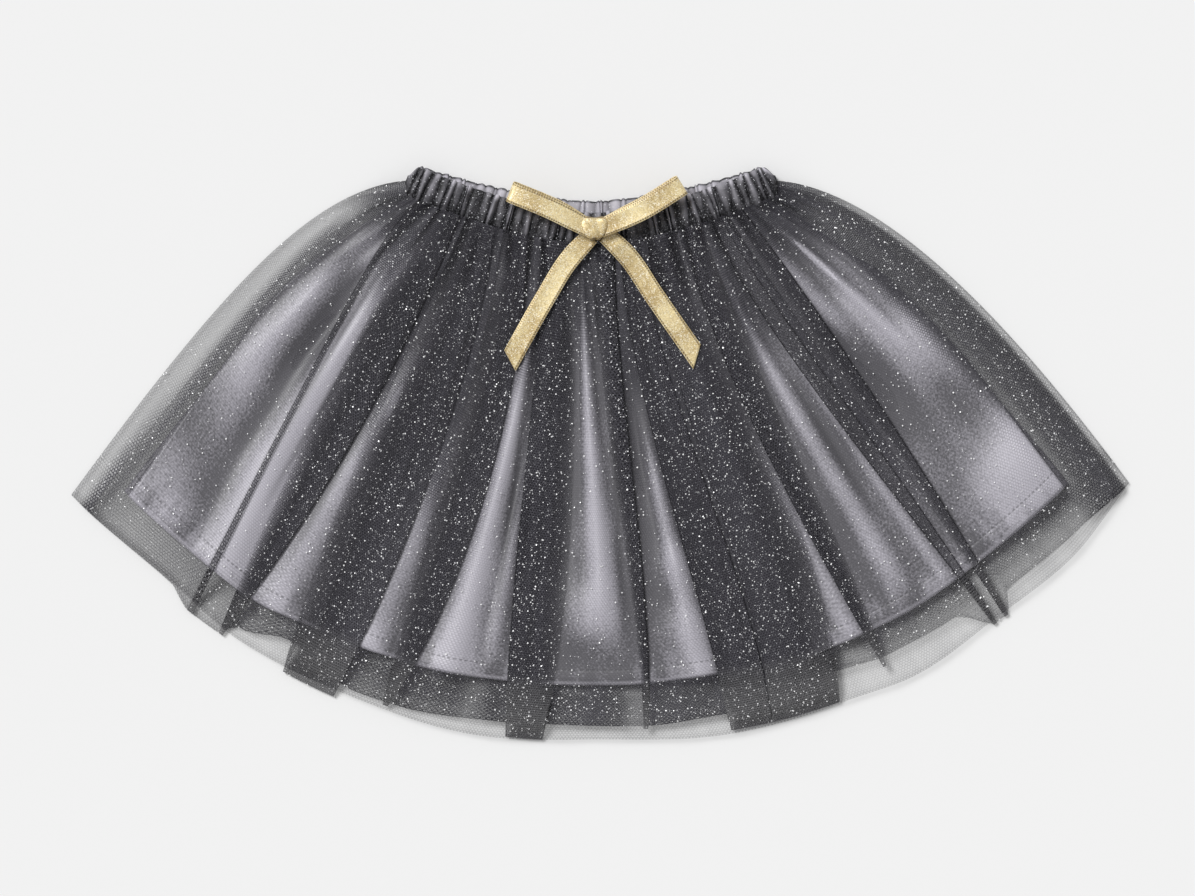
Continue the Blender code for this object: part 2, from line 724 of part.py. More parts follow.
def build_waistband(collection):
    """The back half under the front half."""
    band_half(
        "waistband_back", BACK_DIP, 0.0, BACK_BAND_TOP - BAND_RIDGE / 4, BAND_RIDGE / 2,
        BACK_PROFILE, 2, GATHERED_CASING, collection,
    )
    return band_half(
        "waistband_front", FRONT_DIP, FRONT_BAND_FLOOR, FRONT_BAND_TOP, BAND_RIDGE,
        FRONT_PROFILE, 3, GATHERED_CASING, collection,
    )


def build_bow(collection, cutters, outer, band):
    """The knot on the band, then the tails on the skirt, then the loops over the tails."""
    bpy.context.view_layer.update()
    highest = height_finder([outer, band])
    around = np.linspace(-0.6, 0.6, 9)
    knot_floor = GAP + max(
        highest(KNOT_CENTRE.x + KNOT_SIZE.x * i, KNOT_CENTRE.y + KNOT_SIZE.y * j) or 0.0
        for i in around
        for j in around
    )
    add_object("bow_knot", knot_mesh("bow_knot", 0.0, knot_floor), GOLD_RIBBON, collection)
    cutter = add_object("knot_room", knot_mesh("knot_room", GAP, knot_floor), GOLD_RIBBON, cutters)
    cutter.hide_render = True
    cutter.display_type = "WIRE"
    tails = [
        ribbon_tail("bow_tail_left", LEFT_TAIL, LEFT_TAIL_SLANT, highest, GOLD_RIBBON, collection),
        ribbon_tail("bow_tail_right", RIGHT_TAIL, RIGHT_TAIL_SLANT, highest, GOLD_RIBBON, collection),
    ]
    bpy.context.view_layer.update()
    over = height_finder([outer, band, *tails])
    loops = [
        ribbon_loop("bow_loop_left", LEFT_LOOP, LOOP_BACK_SLIP, over, GOLD_RIBBON, collection),
        ribbon_loop("bow_loop_right", RIGHT_LOOP, -LOOP_BACK_SLIP, over, GOLD_RIBBON, collection),
    ]
    for piece in tails + loops:
        cut_by(piece, cutter)


def centre_over_origin(collection, cutters):
    """Moves everything so that the base of the skirt's bounding box is centred on the origin."""
    bpy.context.view_layer.update()
    graph = bpy.context.evaluated_depsgraph_get()
    corners = np.array([c for made in collection.objects for c in made.evaluated_get(graph).bound_box])
    middle = (corners.min(axis=0) + corners.max(axis=0)) / 2
    for made in [*collection.objects, *cutters.objects]:
        made.location = (-middle[0], -middle[1], 0.0)


def main():
    for made in list(bpy.data.objects):
        bpy.data.objects.remove(made)
    collection = bpy.data.collections.new("tutu_skirt")
    cutters = bpy.data.collections.new("cutters")
    bpy.context.scene.collection.children.link(collection)
    bpy.context.scene.collection.children.link(cutters)
    outer = build_tubes(collection)
    band = build_waistband(collection)
    build_bow(collection, cutters, outer, band)
    centre_over_origin(collection, cutters)


main()
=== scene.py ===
"""A child's tutu skirt laid out flat: glitter tulle over satin and net, with a gold ribbon bow."""

import math
from collections import namedtuple

import bmesh
import bpy
import numpy as np
from bpy.props import FloatProperty, FloatVectorProperty, IntProperty, PointerProperty
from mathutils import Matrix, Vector
from mathutils.bvhtree import BVHTree


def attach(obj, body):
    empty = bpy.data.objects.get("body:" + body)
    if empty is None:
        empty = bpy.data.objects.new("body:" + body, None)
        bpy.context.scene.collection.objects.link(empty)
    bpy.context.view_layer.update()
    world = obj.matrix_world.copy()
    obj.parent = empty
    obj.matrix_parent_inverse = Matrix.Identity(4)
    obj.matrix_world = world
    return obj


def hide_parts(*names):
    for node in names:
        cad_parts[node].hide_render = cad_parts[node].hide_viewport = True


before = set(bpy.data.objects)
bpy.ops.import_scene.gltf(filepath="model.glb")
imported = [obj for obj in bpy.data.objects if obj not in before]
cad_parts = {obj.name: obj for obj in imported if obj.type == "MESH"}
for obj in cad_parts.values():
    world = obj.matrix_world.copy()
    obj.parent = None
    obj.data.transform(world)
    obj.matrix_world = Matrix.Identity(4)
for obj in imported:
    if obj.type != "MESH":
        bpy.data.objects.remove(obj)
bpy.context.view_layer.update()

bl_info = {
    "name": "Tutu Skirt",
    "version": (1, 0, 0),
    "blender": (4, 5, 0),
    "location": "View3D > Sidebar > Tutu Skirt",
    "description": "Makes the cloth, the bow, the glitter and the studio of a laid-out tutu skirt",
    "category": "Add Mesh",
}

BODY = "root"

# Plan of the skirt, in metres, and in `across` (-1 to 1) and `down` (0 at the waist, 1 at the hem)
BAND_SPAN = 0.0935
BAND_REACH = 0.0870
BAND_END = 0.0062
BAND_HALF_HEIGHT = 0.0089
BAND_CURVE = 1.6
WAIST_SHIFT = -0.0042
SEAM_ROUND = 0.93
SEAM_TUCK = 0.0016
HEM_HALF_WIDTH = 0.2662
HEM_SHIFT = 0.0023
HEM_LOWEST = -0.1440
HEM_RISE = 0.1250
HEM_CURVE = 2.35
FAN_ANGLE = math.radians(62.5)
SKIRT_LENGTH = 0.2550
# Handles of the curves from waist to hem: how far each bows out, down, in and up
WAIST_OUT = 0.0475
WAIST_DOWN = 0.075
SIDE_WAIST_DOWN = 0.0025
HEM_IN = 0.075
HEM_UP = 0.1025
LINING_SIDE = 0.932
# The satin's sides, as pairs of `down` and `across`
LEFT_LINING = (
    (0.0, 0.915), (0.25, 0.923), (0.55, 0.932), (0.75, 0.915), (1.0, 0.902),
)
RIGHT_LINING = (
    (0.0, 0.860), (0.22, 0.878), (0.45, 0.913), (0.65, 0.907), (1.0, 0.888),
)
LEFT_NET = 0.950
RIGHT_NET = 0.986

Dip = namedtuple("Dip", "middle rise")
FRONT_DIP = Dip(middle=0.1125, rise=0.0255)
BACK_DIP = Dip(middle=0.1185, rise=0.0195)

# Heights of the layers above the table
TULLE_BACK_Z = 0.0005
SATIN_BACK_Z = 0.0018
NET_BACK_Z = 0.0031
NET_FRONT_Z = 0.0044
SATIN_FRONT_Z = 0.0057
OVER = 0.0011
WAIST_LIFT = 0.0013
TULLE_WAIST_LIFT = 0.0014
# How far the front tulle's side folds and hem stay above the back tulle
RIM_LIFT = 0.0008

# Hems, as pairs of `across` and `down`
SATIN_HEM = (
    (-1.00, 0.946), (-0.65, 0.932), (-0.42, 0.904), (-0.35, 0.899), (-0.15, 0.888),
    (0.00, 0.886), (0.19, 0.881), (0.38, 0.894), (0.60, 0.904), (1.00, 0.920),
)
NET_HEM = (
    (-1.00, 1.004), (-0.75, 0.992), (-0.60, 1.002), (-0.40, 0.996), (-0.20, 1.003),
    (0.00, 0.994), (0.18, 1.000), (0.38, 0.996), (0.50, 1.006), (0.66, 0.996), (0.80, 1.000),
    (1.00, 0.985),
)
# The outer tulle's hem between its pleats, which is shorter than the net below it
TULLE_HEM = (
    (-1.00, 1.004), (-0.75, 0.994), (-0.694, 1.012), (-0.640, 1.012), (-0.61, 0.984),
    (-0.53, 0.955), (-0.40, 0.985), (-0.33, 0.983), (-0.16, 0.970), (-0.08, 0.966),
    (0.07, 0.968), (0.18, 0.960), (0.38, 0.938), (0.48, 0.950), (0.60, 0.955), (0.652, 1.003),
    (0.673, 1.003), (0.70, 0.970), (0.86, 0.976), (1.00, 0.985),
)
# How closely the tulle lies gathered below the satin's hem, as pairs of `across` and bunching
HEM_SHADE = (
    (-1.00, 0.05), (-0.80, 0.15), (-0.62, 0.66), (-0.45, 1.00), (-0.20, 1.30), (0.15, 1.30),
    (0.38, 1.00), (0.52, 0.70), (0.70, 0.65), (0.88, 0.75), (1.00, 0.50),
)

# Pleats of the outer tulle, by their left and right lines at the waist, halfway and at the hem.
# `top` is the line of the upper fold, `soft` the side that thins out without a line, `dense` how
# closely the cloth is bunched and `reach` how far down the pleat hangs.
Pleat = namedtuple(
    "Pleat", "left_waist left_mid left_hem right_waist right_mid right_hem top soft dense reach"
)
PLEATS = (
    Pleat(-0.888, -0.782, -0.697, -0.868, -0.774, -0.686, "left", "", 0.30, 1.012),
    Pleat(-0.785, -0.722, -0.633, -0.680, -0.622, -0.627, "right", "left", 1.00, 1.012),
    Pleat(-0.640, -0.602, -0.514, -0.500, -0.432, -0.427, "left", "left", 1.35, 1.010),
    Pleat(-0.450, -0.402, -0.350, -0.330, -0.288, -0.343, "left", "left", 1.00, 0.990),
    Pleat(-0.250, -0.196, -0.152, -0.100, -0.066, -0.096, "left", "right", 1.15, 0.999),
    Pleat(-0.010, 0.054, 0.062, 0.110, 0.100, 0.068, "right", "left", 0.95, 0.974),
    Pleat(0.140, 0.186, 0.197, 0.240, 0.285, 0.262, "left", "", 1.00, 0.994),
    Pleat(0.280, 0.300, 0.264, 0.440, 0.462, 0.371, "right", "right", 1.30, 0.994),
    Pleat(0.475, 0.456, 0.459, 0.575, 0.522, 0.463, "left", "right", 1.00, 0.966),
    Pleat(0.612, 0.628, 0.646, 0.664, 0.666, 0.651, "left", "", 0.20, 1.004),
    Pleat(0.700, 0.688, 0.668, 0.775, 0.728, 0.674, "right", "left", 0.45, 1.004),
)
# Where the single cloth between two pleats stops being bunched, from the left side to the right
OPENS_AT = (0.10, 0.26, 0.50, 0.55, 0.25, 0.06, 0.26, 1.90, 0.58, 0.25, 0.68, 0.12)
# Single folds that show only below the satin's hem
HemLine = namedtuple("HemLine", "across half_width depth")
HEM_LINES = (
    HemLine(-0.565, 0.006, 0.5),
    HemLine(-0.318, 0.006, 0.6),
    HemLine(-0.234, 0.005, 0.9),
    HemLine(-0.190, 0.010, 1.2),
    HemLine(-0.012, 0.004, 0.9),
    HemLine(0.018, 0.004, 0.9),
    HemLine(0.140, 0.006, 0.5),
)
# Where only single cloth hangs below the satin: middle and half width
HEM_OPENINGS = ((-0.208, 0.024), (0.050, 0.020), (-0.655, 0.020), (0.664, 0.008), (0.415, 0.030))
# The bunched strip between the satin's side and the tulle's own side fold
Beside = namedtuple("Beside", "start stop bunch")
LEFT_BESIDE = Beside(start=0.918, stop=0.955, bunch=1.10)
RIGHT_BESIDE = Beside(start=0.885, stop=0.985, bunch=1.20)
# Height of one ply over the next, narrowest pleat and width of a fold line
PLY_RISE = 0.0004
LEAST_PLEAT = 0.0014
PLEAT_BRIM = 0.0007
# How far the soft side of a pleat thins out
THIN = 0.62
PLY_POINTS = 7
BEND_POINTS = 3
STRETCH_POINTS = 13

TULLE_ROWS = 96
SATIN_GRID = (120, 330)
NET_GRID = (70, 300)

# The folds' and swellings' heights also set the satin's painted highlights and shade
# Soft folds of the satin: ridge line at waist, mid and hem, half width, height, first and last down
Fold = namedtuple("Fold", "waist mid hem half_width height start stop")
SATIN_FOLDS = (
    Fold(-0.88, -0.885, -0.90, 0.050, 0.0024, 0.00, 0.80),
    Fold(-0.80, -0.86, -0.80, 0.050, 0.0020, 0.10, 0.80),
    Fold(-0.76, -0.745, -0.67, 0.075, 0.0044, 0.14, 1.12),
    Fold(-0.55, -0.585, -0.58, 0.050, 0.0024, 0.30, 1.10),
    Fold(-0.38, -0.410, -0.40, 0.045, 0.0026, 0.40, 1.10),
    Fold(-0.26, -0.258, -0.265, 0.056, 0.0046, 0.05, 1.12),
    Fold(-0.16, -0.190, -0.200, 0.028, 0.0020, 0.30, 0.95),
    Fold(-0.05, -0.005, 0.02, 0.052, 0.0044, 0.00, 0.86),
    Fold(0.12, 0.160, 0.17, 0.040, 0.0030, 0.30, 1.10),
    Fold(0.28, 0.340, 0.36, 0.060, 0.0018, 0.20, 1.00),
    Fold(0.42, 0.450, 0.42, 0.036, 0.0024, 0.45, 1.10),
    Fold(0.575, 0.562, 0.545, 0.040, 0.0032, 0.05, 0.95),
    Fold(0.63, 0.628, 0.62, 0.024, 0.0020, 0.30, 1.10),
    Fold(0.765, 0.755, 0.75, 0.045, 0.0028, 0.05, 0.60),
    Fold(0.82, 0.835, 0.83, 0.030, 0.0028, 0.00, 0.62),
    Fold(0.87, 0.880, 0.870, 0.034, 0.0012, 0.00, 1.00),
)
# Rounded swellings and hollows between the folds: place, reach across and down, height
Swell = namedtuple("Swell", "across down wide long height")
SATIN_SWELLS = (
    Swell(-0.865, 0.33, 0.035, 0.080, -0.0022),
    Swell(-0.790, 0.24, 0.060, 0.100, 0.0022),
    Swell(-0.805, 0.50, 0.028, 0.100, -0.0026),
    Swell(-0.830, 0.92, 0.080, 0.060, 0.0013),
    Swell(-0.690, 0.80, 0.050, 0.100, 0.0020),
    Swell(-0.860, 0.88, 0.060, 0.070, 0.0014),
    Swell(-0.090, 0.60, 0.030, 0.200, -0.0018),
    Swell(-0.030, 0.74, 0.045, 0.060, 0.0022),
    Swell(-0.060, 0.85, 0.080, 0.060, -0.0009),
    Swell(0.170, 0.665, 0.035, 0.045, 0.0026),
    Swell(0.160, 0.790, 0.045, 0.050, 0.0022),
    Swell(0.130, 0.420, 0.035, 0.130, -0.0026),
    Swell(0.740, 0.500, 0.035, 0.140, -0.0030),
    Swell(0.850, 0.560, 0.050, 0.080, 0.0032),
    Swell(0.835, 0.860, 0.075, 0.080, 0.0054),
    Swell(0.805, 0.440, 0.032, 0.090, 0.0020),
    Swell(-0.745, 0.740, 0.030, 0.080, 0.0013),
    Swell(-0.850, 0.735, 0.030, 0.070, 0.0008),
)
# Fine creases of the satin, drawn only as painted shade: where they start and end, and half their
# width
Crease = namedtuple("Crease", "across_from across_to start stop half_width")
SATIN_CREASES = (
    Crease(-0.235, -0.200, 0.36, 0.78, 0.008),
    Crease(-0.800, -0.735, 0.20, 0.72, 0.007),
    Crease(-0.735, -0.690, 0.30, 0.80, 0.006),
    Crease(-0.620, -0.600, 0.50, 0.85, 0.008),
    Crease(0.062, 0.040, 0.25, 0.80, 0.008),
    Crease(0.600, 0.580, 0.40, 0.74, 0.009),
    Crease(0.540, 0.500, 0.30, 0.62, 0.006),
    Crease(0.800, 0.790, 0.10, 0.42, 0.008),
    Crease(0.850, 0.845, 0.06, 0.40, 0.007),
    Crease(0.872, 0.880, 0.10, 0.48, 0.006),
)
TURN_UP = 0.0075
# The turned-up hem stands out a little above its edge line and rolls under at the bottom
TURN_UP_STEP = 0.00025
TURN_UP_EDGE = 0.0012
HEM_ROLL = 0.0007
HEM_ROLL_WIDTH = 0.0016
STITCH_HALF = 0.0006
STITCH_CORE = 0.0002
SATIN_THICK = 0.0003
SATIN_GATHER = 0.0009
TULLE_GATHER = 0.0012
NET_RIPPLE = 0.0003
BACK_LINING = (0.915, 0.900)
BACK_LINING_GRID = (60, 200)

BAND_GATHERS = 50
BAND_STEPS = 12
BAND_ROUND = 40
# Heights of the waistband's halves, and how far their gathers stand out
FRONT_BAND_FLOOR = 0.0049
FRONT_BAND_TOP = 0.0104
FRONT_BAND_DEPTH = 0.0026
BACK_BAND_FLOOR = 0.0001
BACK_BAND_TOP = 0.0046
BACK_BAND_DEPTH = 0.0010
# How far the casing's long edges stay inside the solid's, and how far they wave
BAND_INSET = 0.0006
BAND_EDGE_WAVE = 0.0011

RIBBON_WIDTH = 0.0101
RIBBON_NECK = 0.0092
RIBBON_THICK = 0.00035
RIBBON_ACROSS = np.linspace(-1.0, 1.0, 9)
# How far a tail lies off the skirt, arches between its ends and starts above it
TAIL_CLEAR = 0.0006
TAIL_ARCH = 0.0012
TAIL_START = 0.0010
# How far a loop lies off the band, rises outwards, and opens between its two runs
LOOP_CLEAR = 0.0005
LOOP_RISE = 0.0006
LOOP_LEAST = 0.0009
LOOP_PUFF = 0.0042
KNOT_CENTRE = (-0.0027, 0.1127)
KNOT_HALF = (0.0064, 0.0058, 0.0031)
KNOT_FLARE = 0.36
KNOT_CLEAR = 0.0002
POLE_MERGE = 0.00001
# How far each tail's end is cut at a slant, and how far a loop's lower run slips aside
LEFT_SLANT = 0.0032
RIGHT_SLANT = -0.0040
LOOP_SLIP = 0.0012
LEFT_LOOP = ((-0.0050, 0.1125), (-0.0255, 0.1226), (-0.0430, 0.1298))
RIGHT_LOOP = ((0.0000, 0.1125), (0.0220, 0.1222), (0.0392, 0.1328))
LEFT_TAIL = ((-0.0048, 0.1090), (-0.0158, 0.0968), (-0.0270, 0.0788), (-0.0450, 0.0468))
RIGHT_TAIL = ((0.0030, 0.1096), (0.0142, 0.0985), (0.0265, 0.0803), (0.0485, 0.0488))

# The photograph's view: its frame at the skirt, in metres, and the middle of that frame
VIEW_WIDTH = 0.5975
VIEW_CENTRE = (-0.00125, 0.00325)
CAMERA_HEIGHT = 3.0
SATIN_LEVEL = 0.006

FLAKE_SEED = 7
FLAKE_LIFT = 0.00012
FLAKE_TILT = 0.20

# The studio: floor, sun and sky
FLOOR_HALF = 3.0
FLOOR_Z = -0.0004
FLOOR_COLOUR = (0.86, 0.86, 0.86)
KEY_STRENGTH = 2.55
KEY_ANGLE = math.radians(24.0)
KEY_PLACE = (-1.2, 1.1, 2.0)
SKY_STRENGTH = 0.40

# Fixed colours of the finishes
TULLE_GRAIN = (0.16, 0.16, 0.175)
TULLE_SPARK = (0.75, 0.75, 0.79)
# Painted light: pale threads for the pleats' loose ends
LOOSE_TULLE_PAINTED_LIGHT = (0.165, 0.163, 0.168)
CASING_GRAIN = (0.24, 0.24, 0.26)
CASING_SPARK = (0.80, 0.80, 0.84)
GOLD_SHADE = (0.50, 0.36, 0.16)
GOLD_GLINT = (1.0, 0.96, 0.84)
GOLD_EDGE = (0.17, 0.11, 0.045)
FLAKE_DULL = (0.46, 0.46, 0.49)
FLAKE_BRIGHT = (1.0, 1.0, 1.0)
# Distances between sparks, grains and stitches
SPARK_PITCH = 0.0008
CASING_SPARK_PITCH = 0.0016
RIBBON_GRAIN = 0.0004
SATIN_STITCH = 0.0026
RIBBON_STITCH = 0.0013


def smooth(share):
    """0 below 0, 1 above 1, and an even S between."""
    share = np.clip(share, 0.0, 1.0)
    return share * share * (3.0 - 2.0 * share)


def along(table, across):
    """A curve through a table's points, eased at each point so that it never overshoots."""
    places, values = (np.array(column) for column in zip(*table))
    after = np.clip(np.searchsorted(places, across), 1, len(places) - 1)
    before = places[after - 1]
    t = (np.clip(across, places[0], places[-1]) - before) / (places[after] - before)
    return values[after - 1] + (values[after] - values[after - 1]) * smooth(t)


def through(waist, mid, hem, down):
    """The parabola that has those values at the waist, halfway down and at the hem."""
    return (
        waist * (1 - down) * (1 - 2 * down)
        + mid * 4 * down * (1 - down)
        + hem * down * (2 * down - 1)
    )


def band_frame(x, dip):
    """The waistband's middle line at x from its centre, with its direction to +X and the one up."""
    share = np.abs(x) / BAND_SPAN
    y = dip.middle + dip.rise * share**BAND_CURVE
    slope = np.sign(x) * dip.rise * BAND_CURVE * share ** (BAND_CURVE - 1) / BAND_SPAN
    length = np.sqrt(1 + slope * slope)
    middle = np.stack([x + WAIST_SHIFT, y], axis=-1)
    forward = np.stack([1 / length, slope / length], axis=-1)
    up = np.stack([-slope / length, 1 / length], axis=-1)
    return middle, forward, up


def seam(across, dip):
    """Where the panels are sewn in: the band's lower edge, then round its end to half height."""
    side = np.sign(across)
    x = side * np.minimum(np.abs(across) / SEAM_ROUND, 1.0) * BAND_REACH
    middle, forward, up = band_frame(x, dip)
    turn = np.clip((np.abs(across) - SEAM_ROUND) / (1 - SEAM_ROUND), 0, 1) * math.pi / 2
    outwards = (BAND_END - SEAM_TUCK) * np.sin(turn) * side
    below = (BAND_HALF_HEIGHT - SEAM_TUCK) * np.cos(turn)
    return middle + forward * outwards[..., None] - up * below[..., None]


def plan(across, down, dip):
    """Skirt coordinates to X and Y: each line of constant `across` is a cubic from seam to hem."""
    across, down = np.broadcast_arrays(np.asarray(across, float), np.asarray(down, float))
    start = seam(across, dip)
    swing = np.sin(FAN_ANGLE * across) / math.sin(FAN_ANGLE)
    end = np.stack(
        [HEM_SHIFT + HEM_HALF_WIDTH * swing, HEM_LOWEST + HEM_RISE * np.abs(swing) ** HEM_CURVE],
        axis=-1,
    )
    side = (across**2)[..., None]
    outward = np.sign(across)[..., None] * np.array([1.0, 0.0])
    leave = (
        start
        + outward * WAIST_OUT * side
        - np.array([0.0, 1.0]) * (WAIST_DOWN * (1 - side) + SIDE_WAIST_DOWN * side)
    )
    arrive = (
        end
        - (end - start) * 0.33 * (1 - side)
        - outward * HEM_IN * side
        + np.array([0.0, HEM_UP]) * side
    )
    t = down[..., None]
    return (
        start * (1 - t) ** 3
        + leave * 3 * t * (1 - t) ** 2
        + arrive * 3 * t * t * (1 - t)
        + end * t**3
    )


def metres_across(down):
    """How many metres one unit of `across` measures at the middle of the skirt."""
    ends = plan(0.002, down, FRONT_DIP) - plan(-0.002, down, FRONT_DIP)
    return float(np.linalg.norm(ends)) / 0.004


def with_height(place, height):
    """X and Y with a height added as Z."""
    return np.concatenate([place, np.broadcast_to(height, place.shape[:-1])[..., None]], axis=-1)


def grid_faces(rows, columns, wrap=False):
    """Quads over a grid of points, facing up where rows run down the picture and columns right."""
    number = np.arange(rows * columns).reshape(rows, columns)
    if wrap:
        number = np.concatenate([number, number[:, :1]], axis=1)
    return np.stack(
        [number[:-1, :-1], number[1:, :-1], number[1:, 1:], number[:-1, 1:]], axis=-1
    ).reshape(-1, 4)


def add_mesh(name, points, faces, uv=None, values=None):
    """A piece from points and faces. uv and values hold one row or number for each point."""
    mesh = bpy.data.meshes.new(name)
    mesh.from_pydata(points.reshape(-1, 3), [], faces)
    corners = np.empty(len(mesh.loops), dtype=np.int32)
    mesh.loops.foreach_get("vertex_index", corners)
    if uv is not None:
        layer = mesh.uv_layers.new(name="UVMap")
        layer.data.foreach_set("uv", uv.reshape(-1, 2)[corners].astype(np.float32).ravel())
    for key, value in (values or {}).items():
        attribute = mesh.attributes.new(key, "FLOAT", "POINT")
        attribute.data.foreach_set("value", np.ascontiguousarray(value, dtype=np.float32).ravel())
    mesh.shade_smooth()
    mesh.update()
    made = bpy.data.objects.new(name, mesh)
    bpy.context.scene.collection.objects.link(made)
    return made


def running(steps):
    """How far along a path each point lies: 0, then the sum of the steps up to it."""
    return np.concatenate([[0.0], np.cumsum(steps)])


def step_lengths(points):
    """The distance from each point, or row of points, to the next."""
    return np.linalg.norm(np.diff(points, axis=0), axis=-1)


def panel_mesh(name, points, values, level=0.8):
    """A panel from its grid of points. Its own coordinates, in metres, run along the row at that
    share of the way down, and down its columns on average."""
    u = running(step_lengths(points[int(len(points) * level)]))
    v = running(step_lengths(points).mean(axis=1))
    uv = np.stack(np.broadcast_arrays(u[None, :], v[:, None]), axis=-1)
    return add_mesh(name, points, grid_faces(*points.shape[:2]), uv, values)


def solidify(made, thickness):
    """Gives a sheet its thickness, half to each side."""
    wall = made.modifiers.new("thickness", "SOLIDIFY")
    wall.thickness = thickness
    wall.offset = 0.0


def finish_piece(made, material, slot, *nodes):
    """Gives a piece its material and body, and hides the solids that it stands for. Its slot is not
    used.
    """
    made.data.materials.append(material)
    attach(made, BODY)
    if nodes:
        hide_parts(*nodes)
    return made


class Value:
    """A shader socket's number. Arithmetic on it adds Math nodes."""

    def __init__(self, graph, socket):
        self.graph = graph
        self.socket = socket

    def math(self, operation, *others, clamp=False):
        settings = {"operation": operation, "use_clamp": clamp}
        return self.graph.add("ShaderNodeMath", settings, [self, *others])

    def __add__(self, other):
        return self.math("ADD", other)

    def __mul__(self, other):
        return self.math("MULTIPLY", other)

    def __sub__(self, other):
        return self.math("SUBTRACT", other)

    def __rsub__(self, other):
        return self.graph.add("ShaderNodeMath", {"operation": "SUBTRACT"}, [other, self])

    def __truediv__(self, other):
        return self.math("DIVIDE", other)

    __radd__ = __add__
    __rmul__ = __mul__

    def cosine(self):
        return self.math("COSINE")

    def clamped(self):
        return self.math("ADD", 0.0, clamp=True)

    def step(self, low, high):
        """0 below low, 1 above high, and a smooth rise between; low may be above high."""
        share = (self - low) / (high - low)
        return self.graph.add(
            "ShaderNodeMapRange", {"interpolation_type": "SMOOTHSTEP"}, [share, 0.0, 1.0, 0.0, 1.0]
        )


class Graph:
    """A material's nodes, with its Principled BSDF ready."""

    def __init__(self, name):
        self.material = bpy.data.materials.new(name)
        self.material.use_nodes = True
        self.nodes = self.material.node_tree.nodes
        self.links = self.material.node_tree.links
        self.shader = self.nodes["Principled BSDF"]

    def connect(self, value, socket):
        """Links a value to a socket, or sets a plain number, colour or vector on it."""
        if isinstance(value, Value):
            self.links.new(value.socket, socket)
        elif value is not None:
            socket.default_value = value

    def add(self, kind, settings=None, inputs=(), output=0):
        """A node of that kind: its settings first, then its sockets by name or in order."""
        node = self.nodes.new(kind)
        for key, value in (settings or {}).items():
            setattr(node, key, value)
        pairs = inputs.items() if isinstance(inputs, dict) else enumerate(inputs)
        for key, value in pairs:
            self.connect(value, node.inputs[key])
        return Value(self, node.outputs[output])

    def attribute(self, name):
        return self.add("ShaderNodeAttribute", {"attribute_name": name}, output="Fac")

    def uv(self):
        return self.add("ShaderNodeUVMap", {"uv_map": "UVMap"})

    def place(self):
        return self.add("ShaderNodeTexCoord", output="Object")

    def noise(self, vector, scale, detail=2.0):
        sockets = {"Vector": vector, "Scale": scale, "Detail": detail}
        return self.add("ShaderNodeTexNoise", {}, sockets)

    def cells(self, vector, scale, output="Distance"):
        return self.add("ShaderNodeTexVoronoi", {}, {"Vector": vector, "Scale": scale}, output)

    def mix(self, share, first, second):
        """The first colour at share 0 and the second at 1."""
        sockets = {0: share, 6: first, 7: second}
        settings = {"data_type": "RGBA"}
        return self.add("ShaderNodeMix", settings, sockets, 2)

    def stretched(self, vector, across, along):
        """Coordinates scaled apart, for streaks that run along the cloth."""
        sockets = {"Vector": vector, "Scale": (across, along, 1.0)}
        return self.add("ShaderNodeMapping", {}, sockets)

    def dot(self, vector, direction):
        settings = {"operation": "DOT_PRODUCT"}
        return self.add("ShaderNodeVectorMath", settings, [vector, direction], "Value")

    def net(self, vector, pitch):
        """A honeycomb net, 1 on its threads and 0 in its holes: three waves 60 degrees apart."""
        turns = 2 * math.pi / (pitch * math.sqrt(3) / 2)
        waves = [
            self.dot(vector, (math.cos(a) * turns, math.sin(a) * turns, 0.0)).cosine()
            for a in (math.pi / 6, math.pi / 2, 5 * math.pi / 6)
        ]
        return (waves[0] + waves[1] + waves[2]).step(0.6, -0.9)

    def bump(self, height, strength, distance):
        sockets = {"Height": height, "Strength": strength, "Distance": distance}
        return self.add("ShaderNodeBump", {}, sockets, "Normal")

    def finish(self, **sockets):
        """Connects the shader's sockets and gives the material."""
        for key, value in sockets.items():
            self.connect(value, self.shader.inputs[key.replace("_", " ")])
        return self.material


def rgba(colour, scale=1.0):
    """A colour made brighter or darker, with full alpha."""
    return (*(c * scale for c in colour), 1.0)


